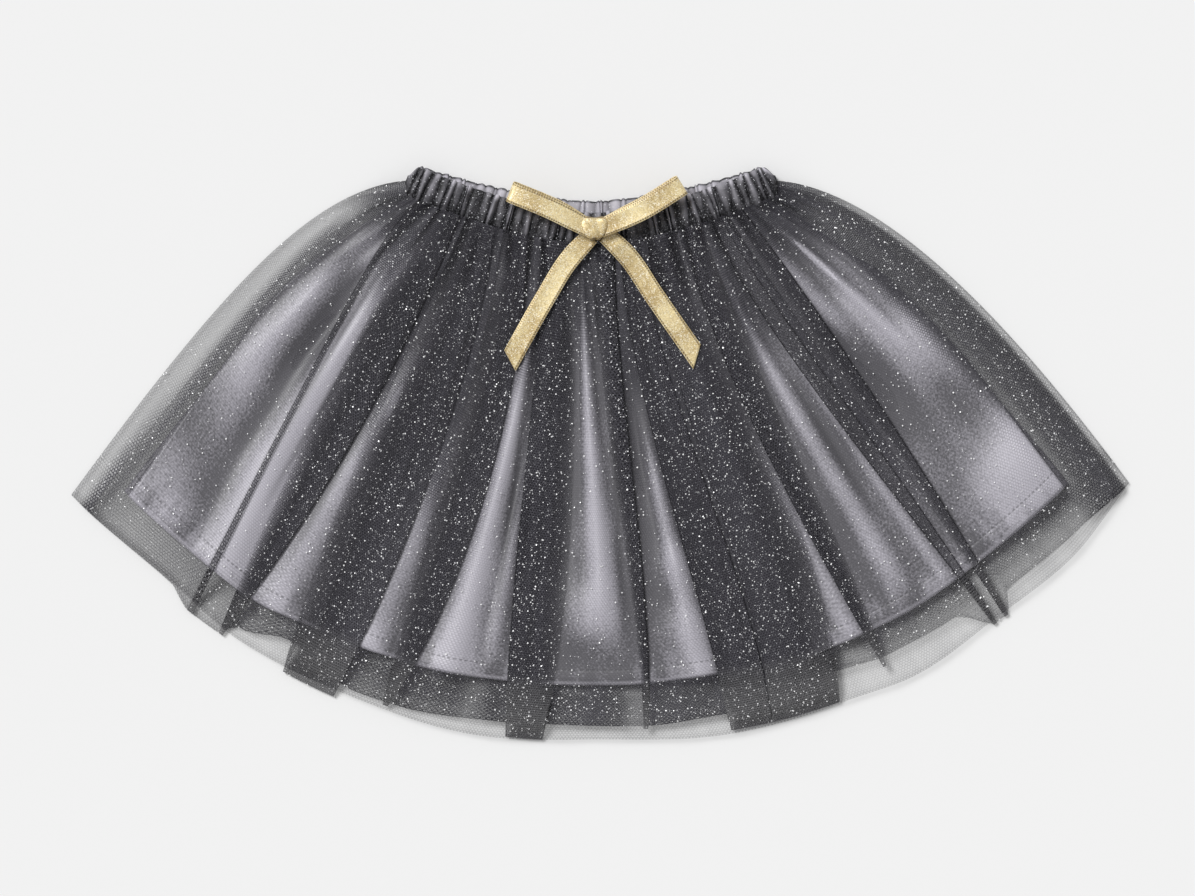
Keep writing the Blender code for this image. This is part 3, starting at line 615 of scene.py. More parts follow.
def tulle_material(name, settings, glitter):
    """Fine net: see-through between its threads, darker where it is bunched and along its folds,
    with painted shade in the valleys of its gathers. Streaks that run down the cloth vary how close
    its gathers lie, and paint light and shade on it. On the glitter tulle, the pleats' loose ends
    get pale threads as painted light."""
    graph = Graph(name)
    uv = graph.uv()
    bunch = graph.attribute("bunch")
    edge = graph.attribute("edge")
    net = graph.net(uv, settings.net_pitch)
    streak = graph.noise(graph.stretched(uv, 200.0, 6.0), 1.0, 3.0)
    wide = graph.noise(graph.stretched(uv, 60.0, 4.0), 1.0, 2.0)
    grain = graph.noise(uv, 1500.0, 1.0)
    cover = settings.tulle_cover if glitter else settings.net_cover
    spread = streak * 0.9 + wide * 0.5 + 0.3
    alpha = (bunch * 0.40 + cover) * (net * 1.3 + 0.35) * spread + edge * 0.30
    # Painted light and shade: the streaks mix a shaded and a lit copy of the thread colour, and
    # light the threads further
    lit = (streak * 0.6 + wide * 0.6 - 0.35) * 2.4
    colour = graph.mix(
        lit.clamped(), rgba(settings.tulle_colour, 0.35), rgba(settings.tulle_colour, 1.7)
    )
    colour = graph.mix(net * (streak * 0.8 + 0.1), colour, rgba(settings.tulle_colour, 2.8))
    # Darker along fold lines and hems, and darker in the gathers' valleys as painted shade
    colour = graph.mix(edge * 0.85, colour, rgba(settings.tulle_colour, 0.25))
    if glitter:
        loose = graph.attribute("loose")
        # Painted light: the pleats' loose ends get pale threads, standing in for the light that
        # comes through them
        colour = graph.mix(loose * (net * 0.75 + 0.25), colour, rgba(LOOSE_TULLE_PAINTED_LIGHT))
        colour = graph.mix(grain.step(0.58, 0.74) * 0.4, colour, rgba(TULLE_GRAIN))
        dot = graph.cells(uv, 1 / SPARK_PITCH).step(0.25, 0.13)
        chance = graph.cells(uv, 1 / SPARK_PITCH, "Color")
        chance = graph.add("ShaderNodeSeparateColor", {}, [chance]).step(0.50, 0.92)
        spark = dot * chance
        colour = graph.mix(spark * (bunch * 0.5 + 0.45).clamped(), colour, rgba(TULLE_SPARK))
        alpha = alpha + spark * 0.35 + loose * net * 0.30
    alpha = alpha.clamped()
    return graph.finish(Base_Color=colour, Alpha=alpha, Roughness=0.6, Specular_IOR_Level=0.12)


def satin_material(settings):
    """Smooth satin: a close weave with painted light and shade, mixing a shaded and a lit copy of
    its colour by its painted_sheen attribute, broad clouds, streaks, a fine grain and puckers near
    the hem. It has painted shade in its fine creases, a painted highlight along the hem's edge and
    a stitched line above its turned-up hem."""
    graph = Graph("satin")
    uv = graph.uv()
    from_hem = graph.attribute("from_hem")
    crease = graph.attribute("crease")
    painted_sheen = graph.attribute("painted_sheen")
    cloud = graph.noise(uv, 20.0, 3.0)
    streak = graph.noise(graph.stretched(uv, 90.0, 9.0), 1.0, 3.0)
    # Painted light and shade of small puckers along the hem
    pucker_light_and_shade = graph.noise(graph.stretched(uv, 130.0, 30.0), 1.0, 2.0) - 0.42
    fine = graph.noise(uv, 800.0, 1.0)
    # Painted light and shade: these mix a shaded and a lit copy of the satin
    tone = painted_sheen + (cloud - 0.5) * 1.1 + (streak - 0.5) * 0.45 + (fine - 0.5) * 1.2 + 0.40
    tone = tone + pucker_light_and_shade * from_hem.step(0.020, 0.002) * 2.0
    colour = graph.mix(
        tone.clamped(), rgba(settings.satin_colour, 0.42), rgba(settings.satin_colour, 2.0)
    )
    # Painted shade in the fine creases and the gathers' troughs
    colour = graph.mix(crease.clamped(), colour, rgba(settings.satin_colour, 0.24))
    line = from_hem.step(TURN_UP - STITCH_HALF, TURN_UP - STITCH_CORE)
    line = line * from_hem.step(TURN_UP + STITCH_HALF, TURN_UP + STITCH_CORE)
    stitch = line * graph.dot(uv, (2 * math.pi / SATIN_STITCH, 0.0, 0.0)).cosine().step(-0.6, 0.2)
    colour = graph.mix(stitch * 0.5, colour, rgba(settings.satin_colour, 0.30))
    turned = from_hem.step(TURN_UP, TURN_UP - TURN_UP_EDGE)
    # Painted highlight along the hem's edge
    rim = from_hem.step(0.0026, 0.0008)
    colour = graph.mix(rim * 0.6, colour, rgba(settings.satin_colour, 2.4))
    normal = graph.bump(streak * 0.25 + turned * 0.5 - stitch * 0.5, 0.35, 0.0006)
    rough = cloud * 0.15 + 0.38
    return graph.finish(
        Base_Color=colour, Roughness=rough, Specular_IOR_Level=0.7, Normal=normal
    )


def band_material(settings):
    """The gathered casing: dark tulle over satin, with painted light on each gather's crest and
    painted shade in its valleys, and the satin itself standing out along the top edge and inside
    the back, painted brighter there as a highlight."""
    graph = Graph("gathered_casing")
    place = graph.place()
    crest = graph.attribute("crest")
    pale = graph.attribute("pale")
    grain = graph.noise(place, 1500.0, 1.0)
    cloud = graph.noise(place, 150.0, 2.0)
    dot = graph.cells(place, 1 / CASING_SPARK_PITCH).step(0.20, 0.10)
    # Painted light and shade: the crest attribute mixes a shaded copy of the tulle with a lit copy
    # of the satin
    colour = graph.mix(
        ((crest - 0.12) * 1.10 + (cloud - 0.5) * 0.9).clamped(),
        rgba(settings.tulle_colour, 0.30),
        rgba(settings.satin_colour, 0.85),
    )
    colour = graph.mix(grain.step(0.52, 0.70) * 0.42, colour, rgba(CASING_GRAIN))
    # The satin where it shows, painted brighter than itself as a highlight
    bare = (pale * (cloud * 0.8 + 0.6)).clamped()
    colour = graph.mix(bare, colour, rgba(settings.satin_colour, 1.8))
    colour = graph.mix(dot * 0.9, colour, rgba(CASING_SPARK))
    normal = graph.bump(grain, 0.3, 0.0004)
    return graph.finish(
        Base_Color=colour, Roughness=0.5, Specular_IOR_Level=0.25, Normal=normal
    )


def ribbon_material(settings):
    """Gold glitter ribbon: broad patches of painted highlight and shade, grains painted with glints
    where they catch the light, and a stitched line inside each edge.
    """
    graph = Graph("gold_ribbon")
    uv = graph.uv()
    place = graph.place()
    grain = graph.cells(place, 1 / RIBBON_GRAIN, "Color")
    tone = graph.add("ShaderNodeSeparateColor", {}, [grain])
    cloud = graph.noise(place, 70.0, 2.0)
    side = graph.attribute("side")
    line = side.step(0.75, 0.81) * side.step(0.96, 0.90)
    dashes = graph.dot(uv, (0.0, 2 * math.pi / RIBBON_STITCH, 0.0)).cosine().step(-0.8, 0.2)
    gold = settings.gold_colour
    # Painted highlight and shade: broad patches mix a shaded and a lit copy of the gold, and the
    # brightest grains get a painted glint
    lit = (tone * 0.8 + cloud * 2.0 - 0.85).clamped()
    colour = graph.mix(lit, rgba(GOLD_SHADE), rgba(gold, 1.22))
    colour = graph.mix(tone.step(0.80, 0.92) * 0.7, colour, rgba(GOLD_GLINT))
    colour = graph.mix(line * (dashes * 0.65 + 0.25), colour, rgba(GOLD_EDGE))
    normal = graph.bump(tone + line * -0.8, 0.5, 0.00025)
    rough = tone * 0.25 + 0.30
    return graph.finish(Base_Color=colour, Roughness=rough, Metallic=0.3, Normal=normal)


def flake_material():
    """Silver flakes, some brighter than others."""
    graph = Graph("glitter_flakes")
    shine = graph.attribute("shine")
    colour = graph.mix(shine, rgba(FLAKE_DULL), rgba(FLAKE_BRIGHT))
    return graph.finish(Base_Color=colour, Roughness=0.25, Specular_IOR_Level=0.9)


def satin_relief(across, down):
    """The satin front's folds: ridges that follow lines from waist to hem, plus soft swellings."""
    relief = np.zeros(np.broadcast(across, down).shape)
    for fold in SATIN_FOLDS:
        middle = through(fold.waist, fold.mid, fold.hem, down)
        width = fold.half_width * (0.5 + 0.6 * down)
        ridge = 0.5 + 0.5 * np.cos(math.pi * np.clip((across - middle) / width, -1, 1))
        starts = smooth((down - fold.start) / 0.22)
        stops = 1 - smooth((down - fold.stop + 0.18) / 0.18)
        low = 0.35 + 0.65 * smooth(down / 0.45)
        relief = relief + fold.height * low * ridge * starts * stops
    for swell in SATIN_SWELLS:
        away = ((across - swell.across) / swell.wide) ** 2 + ((down - swell.down) / swell.long) ** 2
        relief = relief + swell.height * np.exp(-away)
    return relief * smooth((LINING_SIDE - np.abs(across)) / 0.02)


def gathers(across, down):
    """Small upright gathers below the waistband: uneven waves that fade out down the skirt."""
    wave = (
        np.sin(92 * across + 1.3 * np.sin(11 * across))
        + 0.7 * np.sin(151 * across + 2.1 + 1.7 * np.sin(17 * across))
        + 0.5 * np.sin(57 * across + 0.4)
    )
    fade = np.exp(-down / 0.13)
    return wave / 2.2 * fade


def satin_z(across, down):
    """Height of the satin front: its layer, the lift at the waist, its folds and the gathers."""
    lift = WAIST_LIFT * (1 - smooth(down / 0.10))
    gathered = SATIN_GATHER * gathers(across, down)
    return SATIN_FRONT_Z + lift + satin_relief(across, down) + gathered


def tulle_z(across, down):
    """Height of the outer tulle front: over the satin, then down past the satin's edge and down
    again to the back."""
    on_satin = satin_z(across, np.minimum(down, along(SATIN_HEM, across))) + OVER
    past = np.maximum(
        smooth((np.abs(across) - LINING_SIDE) / 0.03),
        smooth((down - along(SATIN_HEM, across) - 0.004) / 0.03),
    )
    on_net = NET_FRONT_Z + OVER
    z = on_satin + (on_net - on_satin) * past
    rim = np.maximum(
        smooth((np.abs(across) - 0.955) / 0.045) * smooth((down - 0.05) / 0.15),
        smooth((down - 0.965) / 0.035),
    )
    z = z + TULLE_WAIST_LIFT * (1 - smooth(down / 0.05))
    return z + (TULLE_BACK_Z + RIM_LIFT - z) * rim


def pleat_path(down, scale):
    """The pleats on one row. Each gives its places across, plies up, nearness to a fold line and
    bunching, from its left ply through both folds to its right ply."""
    bend = PLY_RISE / 2 / scale
    turn = np.linspace(-math.pi / 2, math.pi / 2, BEND_POINTS + 2)[1:-1]
    rise = np.concatenate(
        [
            np.zeros(PLY_POINTS),
            0.5 + 0.5 * np.sin(turn),
            np.ones(PLY_POINTS),
            1.5 + 0.5 * np.sin(turn),
            np.full(PLY_POINTS, 2.0),
        ]
    )
    pieces = []
    for pleat in PLEATS:
        left = through(pleat.left_waist, pleat.left_mid, pleat.left_hem, down)
        right = through(pleat.right_waist, pleat.right_mid, pleat.right_hem, down)
        right = max(right, left + LEAST_PLEAT / scale)
        brim = min(PLEAT_BRIM / scale, 0.2 * (right - left))
        between = np.linspace(left + brim, right - brim, PLY_POINTS - 2)
        ply = np.concatenate([[left], between, [right]])
        across = np.concatenate(
            [ply, right + bend * np.cos(turn), ply[::-1], left - bend * np.cos(turn), ply]
        )
        share = np.clip((across - left) / (right - left), 0, 1)
        inner = np.ones(across.size)
        if pleat.soft:
            inner = smooth((share if pleat.soft == "left" else 1 - share) / 0.50)
        near = (np.minimum(share, 1 - share) < 0.001) * inner
        first = slice(None, PLY_POINTS) if pleat.soft == "left" else slice(-PLY_POINTS, None)
        bunch = pleat.dense * inner - THIN * (1 - inner)
        bunch[first] = pleat.dense * inner[first]
        plies = 2.0 - rise if pleat.top == "right" else rise
        pieces.append((across, plies, near, bunch, pleat.reach))
    return pieces


def tulle_row(share):
    """One row of the outer tulle: places across, plies up, fold edges, how bunched it is, how far
    down its hem lies, and 1 inside a pleat."""
    pieces = pleat_path(share, metres_across(share))
    waist = 1 - smooth((share - 0.04) / 0.26)
    parts = []
    begin, from_rise, from_bunch = -1.0, 0.0, 0.0
    step = 0.5 - 0.5 * np.cos(np.linspace(0.0, math.pi, STRETCH_POINTS))
    for piece, opens in zip([*pieces, None], OPENS_AT):
        finish, to_rise, to_bunch = 1.0, 0.0, 0.0
        if piece:
            finish, to_rise, to_bunch = piece[0][0], piece[1][0], piece[3][0]
        first = np.abs(begin) < 1.0
        inner = step[1:-1] if first and piece else (step[:-1] if not first else step[1:])
        across = begin + (finish - begin) * inner
        rise = from_rise * (1 - smooth(inner / 0.2)) + to_rise * smooth((inner - 0.8) / 0.2)
        closed = 1 - smooth((share - opens + 0.05) / 0.20)
        bunch = np.full(inner.size, max(1.25 * closed, 1.5 * waist))
        beside = max(from_bunch, 0) * (1 - smooth(inner / 0.3)) * 0.5
        beside = np.maximum(beside, max(to_bunch, 0) * smooth((inner - 0.7) / 0.3) * 0.5)
        bunch = np.maximum(bunch, beside * (1 - smooth((share - 0.5) / 0.4)))
        parts.append((across, rise, 0.0 * inner, bunch, along(TULLE_HEM, across), 0.0 * inner))
        if piece:
            gathered = piece[3] * (0.9 + 0.1 * waist)
            alike = np.ones(piece[0].size)
            parts.append((*piece[:3], gathered, piece[4] * alike, alike))
            begin, from_rise, from_bunch = piece[0][-1], piece[1][-1], piece[3][-1]
    return [np.concatenate(column) for column in zip(*parts)]


def opening(across):
    """1 where only single cloth hangs below the satin, between places where it is doubled."""
    open_now = np.zeros(across.shape)
    for middle, half in HEM_OPENINGS:
        open_now = np.maximum(open_now, smooth((half + 0.002 - np.abs(across - middle)) / 0.004))
    return open_now


def beside_satin(across):
    """How closely the tulle is bunched between the satin's side and its own side fold."""
    left = across < 0
    start = np.where(left, LEFT_BESIDE.start, RIGHT_BESIDE.start)
    stop = np.where(left, LEFT_BESIDE.stop, RIGHT_BESIDE.stop)
    side = np.abs(across)
    inside = smooth((side - start) / 0.02) * (1 - smooth((side - stop) / 0.008))
    return np.where(left, LEFT_BESIDE.bunch, RIGHT_BESIDE.bunch) * inside


def hem_bunch(across, down, past_hem):
    """How closely single tulle is bunched below the satin: by its place across, less at the
    openings and towards its own hem, and least low on the right."""
    shade = along(HEM_SHADE, across) * (1 - 0.7 * opening(across))
    shade = shade * (1 - 0.5 * smooth((down - 0.93) / 0.06))
    lighter = smooth((past_hem - 0.020) / 0.025) * smooth((across - 0.40) / 0.04)
    return shade * (1 - 0.9 * lighter)


def hem_folds(across, down):
    """The single folds below the satin: a bell-shaped line round each one, fanning out a little."""
    folds = np.zeros(across.shape)
    for line in HEM_LINES:
        at = line.across + 0.02 * line.across * (down - 0.95)
        folds = folds + line.depth * np.exp(-(((across - at) / line.half_width) ** 2))
    return folds


def outer_tulle_front(material):
    """The front panel: each row is a path that folds back over itself at every pleat, and the
    rows run from the gathered waist to the hem. Also gives its points and how thickly the
    glitter lies on them."""
    shares = np.linspace(0.0, 1.0, TULLE_ROWS) ** 1.15
    rows = [tulle_row(share) for share in shares]
    across, rise, edge, bunch, reach, in_pleat = (np.array(part) for part in zip(*rows))
    hang = smooth((shares[:, None] - 0.85) / 0.15)
    down = shares[:, None] * (1 + (reach - 1) * hang)
    z = tulle_z(across, down) + rise * PLY_RISE + TULLE_GATHER * gathers(across * 1.05 + 0.3, down)
    points = with_height(plan(across, down, FRONT_DIP), z)
    hem_line = smooth((shares - 0.992) / 0.008)[:, None]
    side_line = smooth((np.abs(across) - 0.994) / 0.004)
    edge = np.maximum(edge * 0.8, np.maximum(0.4 * hem_line, 0.8 * side_line))
    # Painted shade in the gathers' valleys below the waist, carried in the edge attribute
    valley_shade = np.clip(-2.4 * gathers(across * 1.05 + 0.3, down * 0.6) - 0.15, 0, 1)
    edge = np.maximum(edge, 0.9 * valley_shade * (np.abs(across) < 0.97))
    past_hem = down - along(SATIN_HEM, across)
    below = smooth((past_hem + 0.002) / 0.006) * (1 - in_pleat)
    bunch = np.maximum(bunch, beside_satin(across))
    bunch = np.maximum(bunch, below * hem_bunch(across, down, past_hem))
    # The pleats' loose ends below the satin: thinned out, and given pale threads as painted light
    loose = in_pleat * smooth((past_hem + 0.018) / 0.034) * (0.55 + 0.45 * smooth(past_hem / 0.09))
    glitter = bunch
    bunch = bunch * (1 - 0.90 * (bunch > 0) * loose)
    bunch = bunch + hem_folds(across, down) * below
    values = {"bunch": bunch, "edge": edge, "loose": loose}
    made = panel_mesh("outer_tulle_front", points, values, 0.7)
    finish_piece(made, material, "glitter_tulle", "tulle_front")
    return made, points, glitter


def flat_fan(grid, left, right, hem):
    """A grid over a fan between its side folds and its hem: the share of the way down each row
    lies, and each point's `across` and `down`."""
    rows, columns = grid
    share = np.linspace(0.0, 1.0, rows)[:, None]
    across = np.linspace(-left, right, columns)[None, :]
    return share, across, share * along(hem, across)


def lying_panel(name, left, right, hem, dip, z, material, slot, node, darker=0.0):
    """A panel of net that lies flat: a fan of straight threads, rippled low down at the front."""
    share, across, down = flat_fan(NET_GRID, left, right, hem)
    height = z + 0.0 * down
    if dip is FRONT_DIP:
        ripple = np.sin(61 * across + 1.1 * np.sin(9 * across)) + 0.6 * np.sin(97 * across + 1.0)
        height = height + NET_RIPPLE * ripple * smooth((down - 0.80) / 0.1)
        height = height + WAIST_LIFT * (1 - smooth(down / 0.1))
    points = with_height(plan(across, down, dip), height)
    hem_line = smooth((share - 0.993) / 0.007)
    side_line = smooth(((np.abs(across) - min(left, right)) / 0.004) + 1)
    edge = np.maximum(0.25 * hem_line + 0.0 * across, 0.35 * side_line + 0.0 * share)
    bunch = np.maximum(0.7 * (1 - smooth(down / 0.2)), darker)
    made = panel_mesh(name, points, {"bunch": bunch, "edge": edge})
    return finish_piece(made, material, slot, node)


def painted_crease_shade(across, down):
    """Painted shade of the satin's fine creases: 1 on each crease, which tapers to nothing at both
    ends.
    """
    depth = np.zeros(across.shape)
    for crease in SATIN_CREASES:
        share = np.clip((down - crease.start) / (crease.stop - crease.start), 0, 1)
        middle = crease.across_from + (crease.across_to - crease.across_from) * share
        near = np.exp(-(((across - middle) / crease.half_width) ** 2))
        depth = np.maximum(depth, near * np.sin(math.pi * share) ** 0.7)
    return 0.75 * depth


def satin_panel(name, points, values, material, node):
    """A panel of satin with its thickness, and the values that its finish follows."""
    made = panel_mesh(name, points, values)
    solidify(made, SATIN_THICK)
    return finish_piece(made, material, "satin", node)


def satin_front(material):
    """The satin's front: a fan with its folds as heights, and a narrow hem turned up inside."""
    rows, columns = SATIN_GRID
    share = np.linspace(0.0, 1.0, rows)[:, None]
    unit = np.linspace(-1.0, 1.0, columns)[None, :]
    side = np.where(unit < 0, along(LEFT_LINING, share), along(RIGHT_LINING, share))
    across = unit * side
    down = share * along(SATIN_HEM, across)
    relief = satin_relief(across, down)
    z = satin_z(across, down)
    from_hem = (1 - share) * along(SATIN_HEM, across) * SKIRT_LENGTH
    z = z + TURN_UP_STEP * smooth((TURN_UP - from_hem) / TURN_UP_EDGE)
    z = z - HEM_ROLL * smooth((HEM_ROLL_WIDTH - from_hem) / HEM_ROLL_WIDTH)
    points = with_height(plan(across, down, FRONT_DIP), z)
    # Painted shade: darker along the fine creases and in the gathers' troughs
    crease = np.maximum(painted_crease_shade(across, down), 0.7 * np.clip(-gathers(across, down), 0, 1))
    # Painted highlight and shade: brighter on the folds' ridges, swellings and the gathers' crests,
    # darker in hollows and on flat satin
    painted_sheen = 0.85 * np.tanh((relief - 0.0014) / 0.0028) + 0.3 * np.clip(gathers(across, down), 0, 1)
    values = {"from_hem": from_hem, "crease": crease, "painted_sheen": painted_sheen}
    return satin_panel("satin_front", points, values, material, "lining_front")


def satin_back(material):
    """The satin's back, flat under the rest."""
    share, across, down = flat_fan(BACK_LINING_GRID, *BACK_LINING, SATIN_HEM)
    points = with_height(plan(across, down, BACK_DIP), SATIN_BACK_Z + 0.0 * down)
    from_hem = (1 - share) * along(SATIN_HEM, across) * SKIRT_LENGTH
    values = {"from_hem": from_hem, "crease": 0.0 * from_hem, "painted_sheen": 0.0 * from_hem}
    return satin_panel("satin_back", points, values, material, "lining_back")


def band_half(name, dip, floor, top, depth, node, material, seed, inside=False):
    """Half of the waistband: a flattened oval carried along the band's middle line. Sharp uneven
    gathers push its face and its long edges out, and the last rings close each end."""
    count = BAND_GATHERS * BAND_STEPS + 1
    phase = np.linspace(0, BAND_GATHERS, count)
    share = 2 * phase / BAND_GATHERS - 1
    wander = 0.016 * np.sin(7.3 * math.pi * share + seed) + 0.009 * np.sin(16.1 * math.pi * share)
    place = share + wander * (1 - share**8)
    end = smooth((np.abs(place) - 0.94) / 0.06)[:, None]
    x = place * (BAND_REACH + BAND_END * 0.9)
    middle, _, up = band_frame(x, dip)
    theta = np.linspace(0, 2 * math.pi, BAND_ROUND, endpoint=False)[None, :]
    out = np.sign(np.cos(theta)) * np.abs(np.cos(theta)) ** 0.75
    high = np.sign(np.sin(theta)) * np.abs(np.sin(theta)) ** 0.75
    lean = 0.22 * np.sin(3.1 * phase[:, None] + seed) * out
    strength = (0.7 + 0.3 * np.sin(2.3 * phase[:, None] + 1.9 * seed)) * (1 - 0.55 * end)
    crest = np.abs(np.sin(math.pi * (phase[:, None] + lean))) ** 0.8 * strength
    half = (BAND_HALF_HEIGHT - BAND_INSET) * (1 - 0.75 * end**2)
    half = half + BAND_EDGE_WAVE * (crest - 0.45) * np.abs(out) ** 2 * (1 - end)
    face = np.maximum(high, 0) * depth * (crest - 0.55)
    z = (floor + top) / 2 + high * (top - floor) / 2 * (1 - 0.6 * end**2) + face
    z = np.maximum(z, floor)
    xy = middle[:, None, :] + up[:, None, :] * (half * out)[..., None]
    points = with_height(xy, z)
    faces = grid_faces(count, BAND_ROUND, wrap=True)[:, ::-1].tolist()
    faces.append(list(range(BAND_ROUND)))
    faces.append(list(range(count * BAND_ROUND - 1, (count - 1) * BAND_ROUND - 1, -1)))
    # Painted light and shade of the gathers, weaker towards the lower edge; the casing's finish
    # reads it as its crest attribute
    painted_gather_light_and_shade = np.clip(crest * (0.75 + 0.35 * np.sin(5.7 * phase[:, None] + seed)), 0, 1)
    painted_gather_light_and_shade = painted_gather_light_and_shade * (0.50 + 0.50 * smooth((out + 0.8) / 0.9))
    # Where the satin shows, painted brighter on the crests as a highlight: along the front's top
    # edge, and over the inside of the back
    top_edge = smooth((out - 0.55) / 0.35)
    if inside:
        pale = (0.35 + 0.65 * crest) * smooth((0.93 - out) / 0.1)
    else:
        patchy = 0.65 + 0.35 * np.sin(1.7 * phase[:, None])
        pale = top_edge * smooth((crest - 0.35) / 0.35) * patchy
    made = add_mesh(name, points, faces, None, {"crest": painted_gather_light_and_shade, "pale": pale})
    turn_outwards(made)
    return finish_piece(made, material, "gathered_casing", node)


def turn_outwards(made, merge=0.0):
    """Turns a closed piece's faces outwards, once points that lie that near are merged."""
    shape = bmesh.new()
    shape.from_mesh(made.data)
    if merge:
        bmesh.ops.remove_doubles(shape, verts=shape.verts, dist=merge)
    bmesh.ops.recalc_face_normals(shape, faces=shape.faces)
    shape.to_mesh(made.data)
    shape.free()


def height_finder(pieces):
    """A function giving the highest point of those pieces at an X and Y, or 0 beside them."""
    bpy.context.view_layer.update()
    graph = bpy.context.evaluated_depsgraph_get()
    trees = [BVHTree.FromObject(piece, graph) for piece in pieces]

    def highest(x, y):
        hits = [tree.ray_cast(Vector((x, y, 1.0)), Vector((0, 0, -1)))[0] for tree in trees]
        return max([hit.z for hit in hits if hit is not None], default=0.0)

    return highest


def route(knots, count):
    """Evenly spread points on a smooth curve through the knots, with the sideways direction."""
    knots = np.array(knots)
    lengths = running(step_lengths(knots))
    slopes = np.gradient(knots, lengths, axis=0)
    at = np.linspace(0, lengths[-1], count)
    after = np.clip(np.searchsorted(lengths, at), 1, len(lengths) - 1)
    step = (lengths[after] - lengths[after - 1])[:, None]
    t = ((at - lengths[after - 1]) / (lengths[after] - lengths[after - 1]))[:, None]
    place = (
        knots[after - 1] * (1 + 2 * t) * (1 - t) ** 2
        + slopes[after - 1] * step * t * (1 - t) ** 2
        + knots[after] * t * t * (3 - 2 * t)
        - slopes[after] * step * t * t * (1 - t)
    )
    forward = np.gradient(place, axis=0)
    forward /= np.linalg.norm(forward, axis=1)[:, None]
    return place, np.stack([-forward[:, 1], forward[:, 0]], axis=1)


def ahead(sideways):
    """The direction of travel, a quarter turn right of the one to the left."""
    return np.stack([sideways[:, 1], -sideways[:, 0]], axis=1)


def resting(place, sideways, highest):
    """Heights for a ribbon that bridges the hollows of what it lies on."""
    tops = np.array(
        [
            max(highest(*(middle + side * RIBBON_WIDTH * k)) for k in (-0.5, -0.25, 0, 0.25, 0.5))
            for middle, side in zip(place, sideways)
        ]
    )
    for _ in range(6):
        padded = np.pad(tops, 1, mode="edge")
        tops = np.maximum(tops, (padded[:-2] + padded[1:-1] + padded[2:]) / 3)
    return tops


def ribbon_mesh(name, middles, sides, widths, heights, material, node, slant=0.0, curl=0.0003):
    """A ribbon: its width carried along a path, slightly cupped, with its end cut at a slant."""
    half = (widths[:, None] / 2) * RIBBON_ACROSS[None, :]
    xy = middles[:, None, :] + sides[:, None, :] * half[..., None]
    late = smooth((np.linspace(0, 1, len(middles)) - 0.75) / 0.25)[:, None] * RIBBON_ACROSS * slant
    xy = xy + ahead(sides)[:, None, :] * late[..., None]
    z = heights[:, None] + curl * (RIBBON_ACROSS[None, :] ** 2 - 0.5)
    points = with_height(xy, z)
    lengths = running(step_lengths(points[:, RIBBON_ACROSS.size // 2]))
    uv = np.stack(np.broadcast_arrays(half, lengths[:, None]), axis=-1)
    side = np.broadcast_to(np.abs(RIBBON_ACROSS)[None, :], half.shape)
    made = add_mesh(name, points, grid_faces(*half.shape), uv, {"side": side})
    solidify(made, RIBBON_THICK)
    return finish_piece(made, material, "gold_ribbon", node)


def ribbon_widths(share, over):
    """The ribbon's width, pinched at the knot and full from that share of its length on."""
    return RIBBON_NECK + (RIBBON_WIDTH - RIBBON_NECK) * smooth(share / over)


def ribbon_tail(side, knots, slant, highest, material):
    """A loose end: from under the knot down onto the skirt."""
    count = 60
    place, sideways = route(knots, count)
    share = np.linspace(0, 1, count)
    width = ribbon_widths(share, 0.16)
    rest = resting(place, sideways, highest)
    arch = TAIL_ARCH * np.sin(math.pi * share) ** 2
    height = rest + TAIL_CLEAR + arch + TAIL_START * (1 - smooth(share / 0.2))
    return ribbon_mesh(
        f"ribbon_tail_{side}", place, sideways, width, height, material, f"bow_tail_{side}", slant
    )


def ribbon_loop(side, knots, slip, highest, material):
    """A loop of the bow: out along the band, over at the tip, and back above itself."""
    count = 40
    place, sideways = route(knots, count)
    share = np.linspace(0, 1, count)
    under = resting(place, sideways, highest).max() + LOOP_CLEAR + LOOP_RISE * share
    puff = np.sin(math.pi * np.minimum(share * 0.62 + 0.08, 1.0)) ** 1.2
    gap = LOOP_LEAST + LOOP_PUFF * puff
    width = ribbon_widths(share, 0.3)
    lower = place - sideways * (slip * smooth(share / 0.5))[:, None]
    turn = np.linspace(-math.pi / 2, math.pi / 2, 11)[1:-1]
    back = ((1 + np.sin(turn)) / 2)[:, None]
    tip = lower[-1] * (1 - back) + place[-1] * back
    tip = tip + ahead(sideways)[-1] * (np.cos(turn) * gap[-1] * 0.55)[:, None]
    tip_z = under[-1] + gap[-1] * (1 + np.sin(turn)) / 2
    middles = np.concatenate([lower, tip, place[::-1]])
    sides = np.concatenate([sideways, np.repeat(sideways[-1:], turn.size, axis=0), sideways[::-1]])
    widths = np.concatenate([width, np.full(turn.size, RIBBON_WIDTH), width[::-1]])
    heights = np.concatenate([under, tip_z, (under + gap)[::-1]])
    return ribbon_mesh(
        f"ribbon_loop_{side}", middles, sides, widths, heights, material, f"bow_loop_{side}"
    )


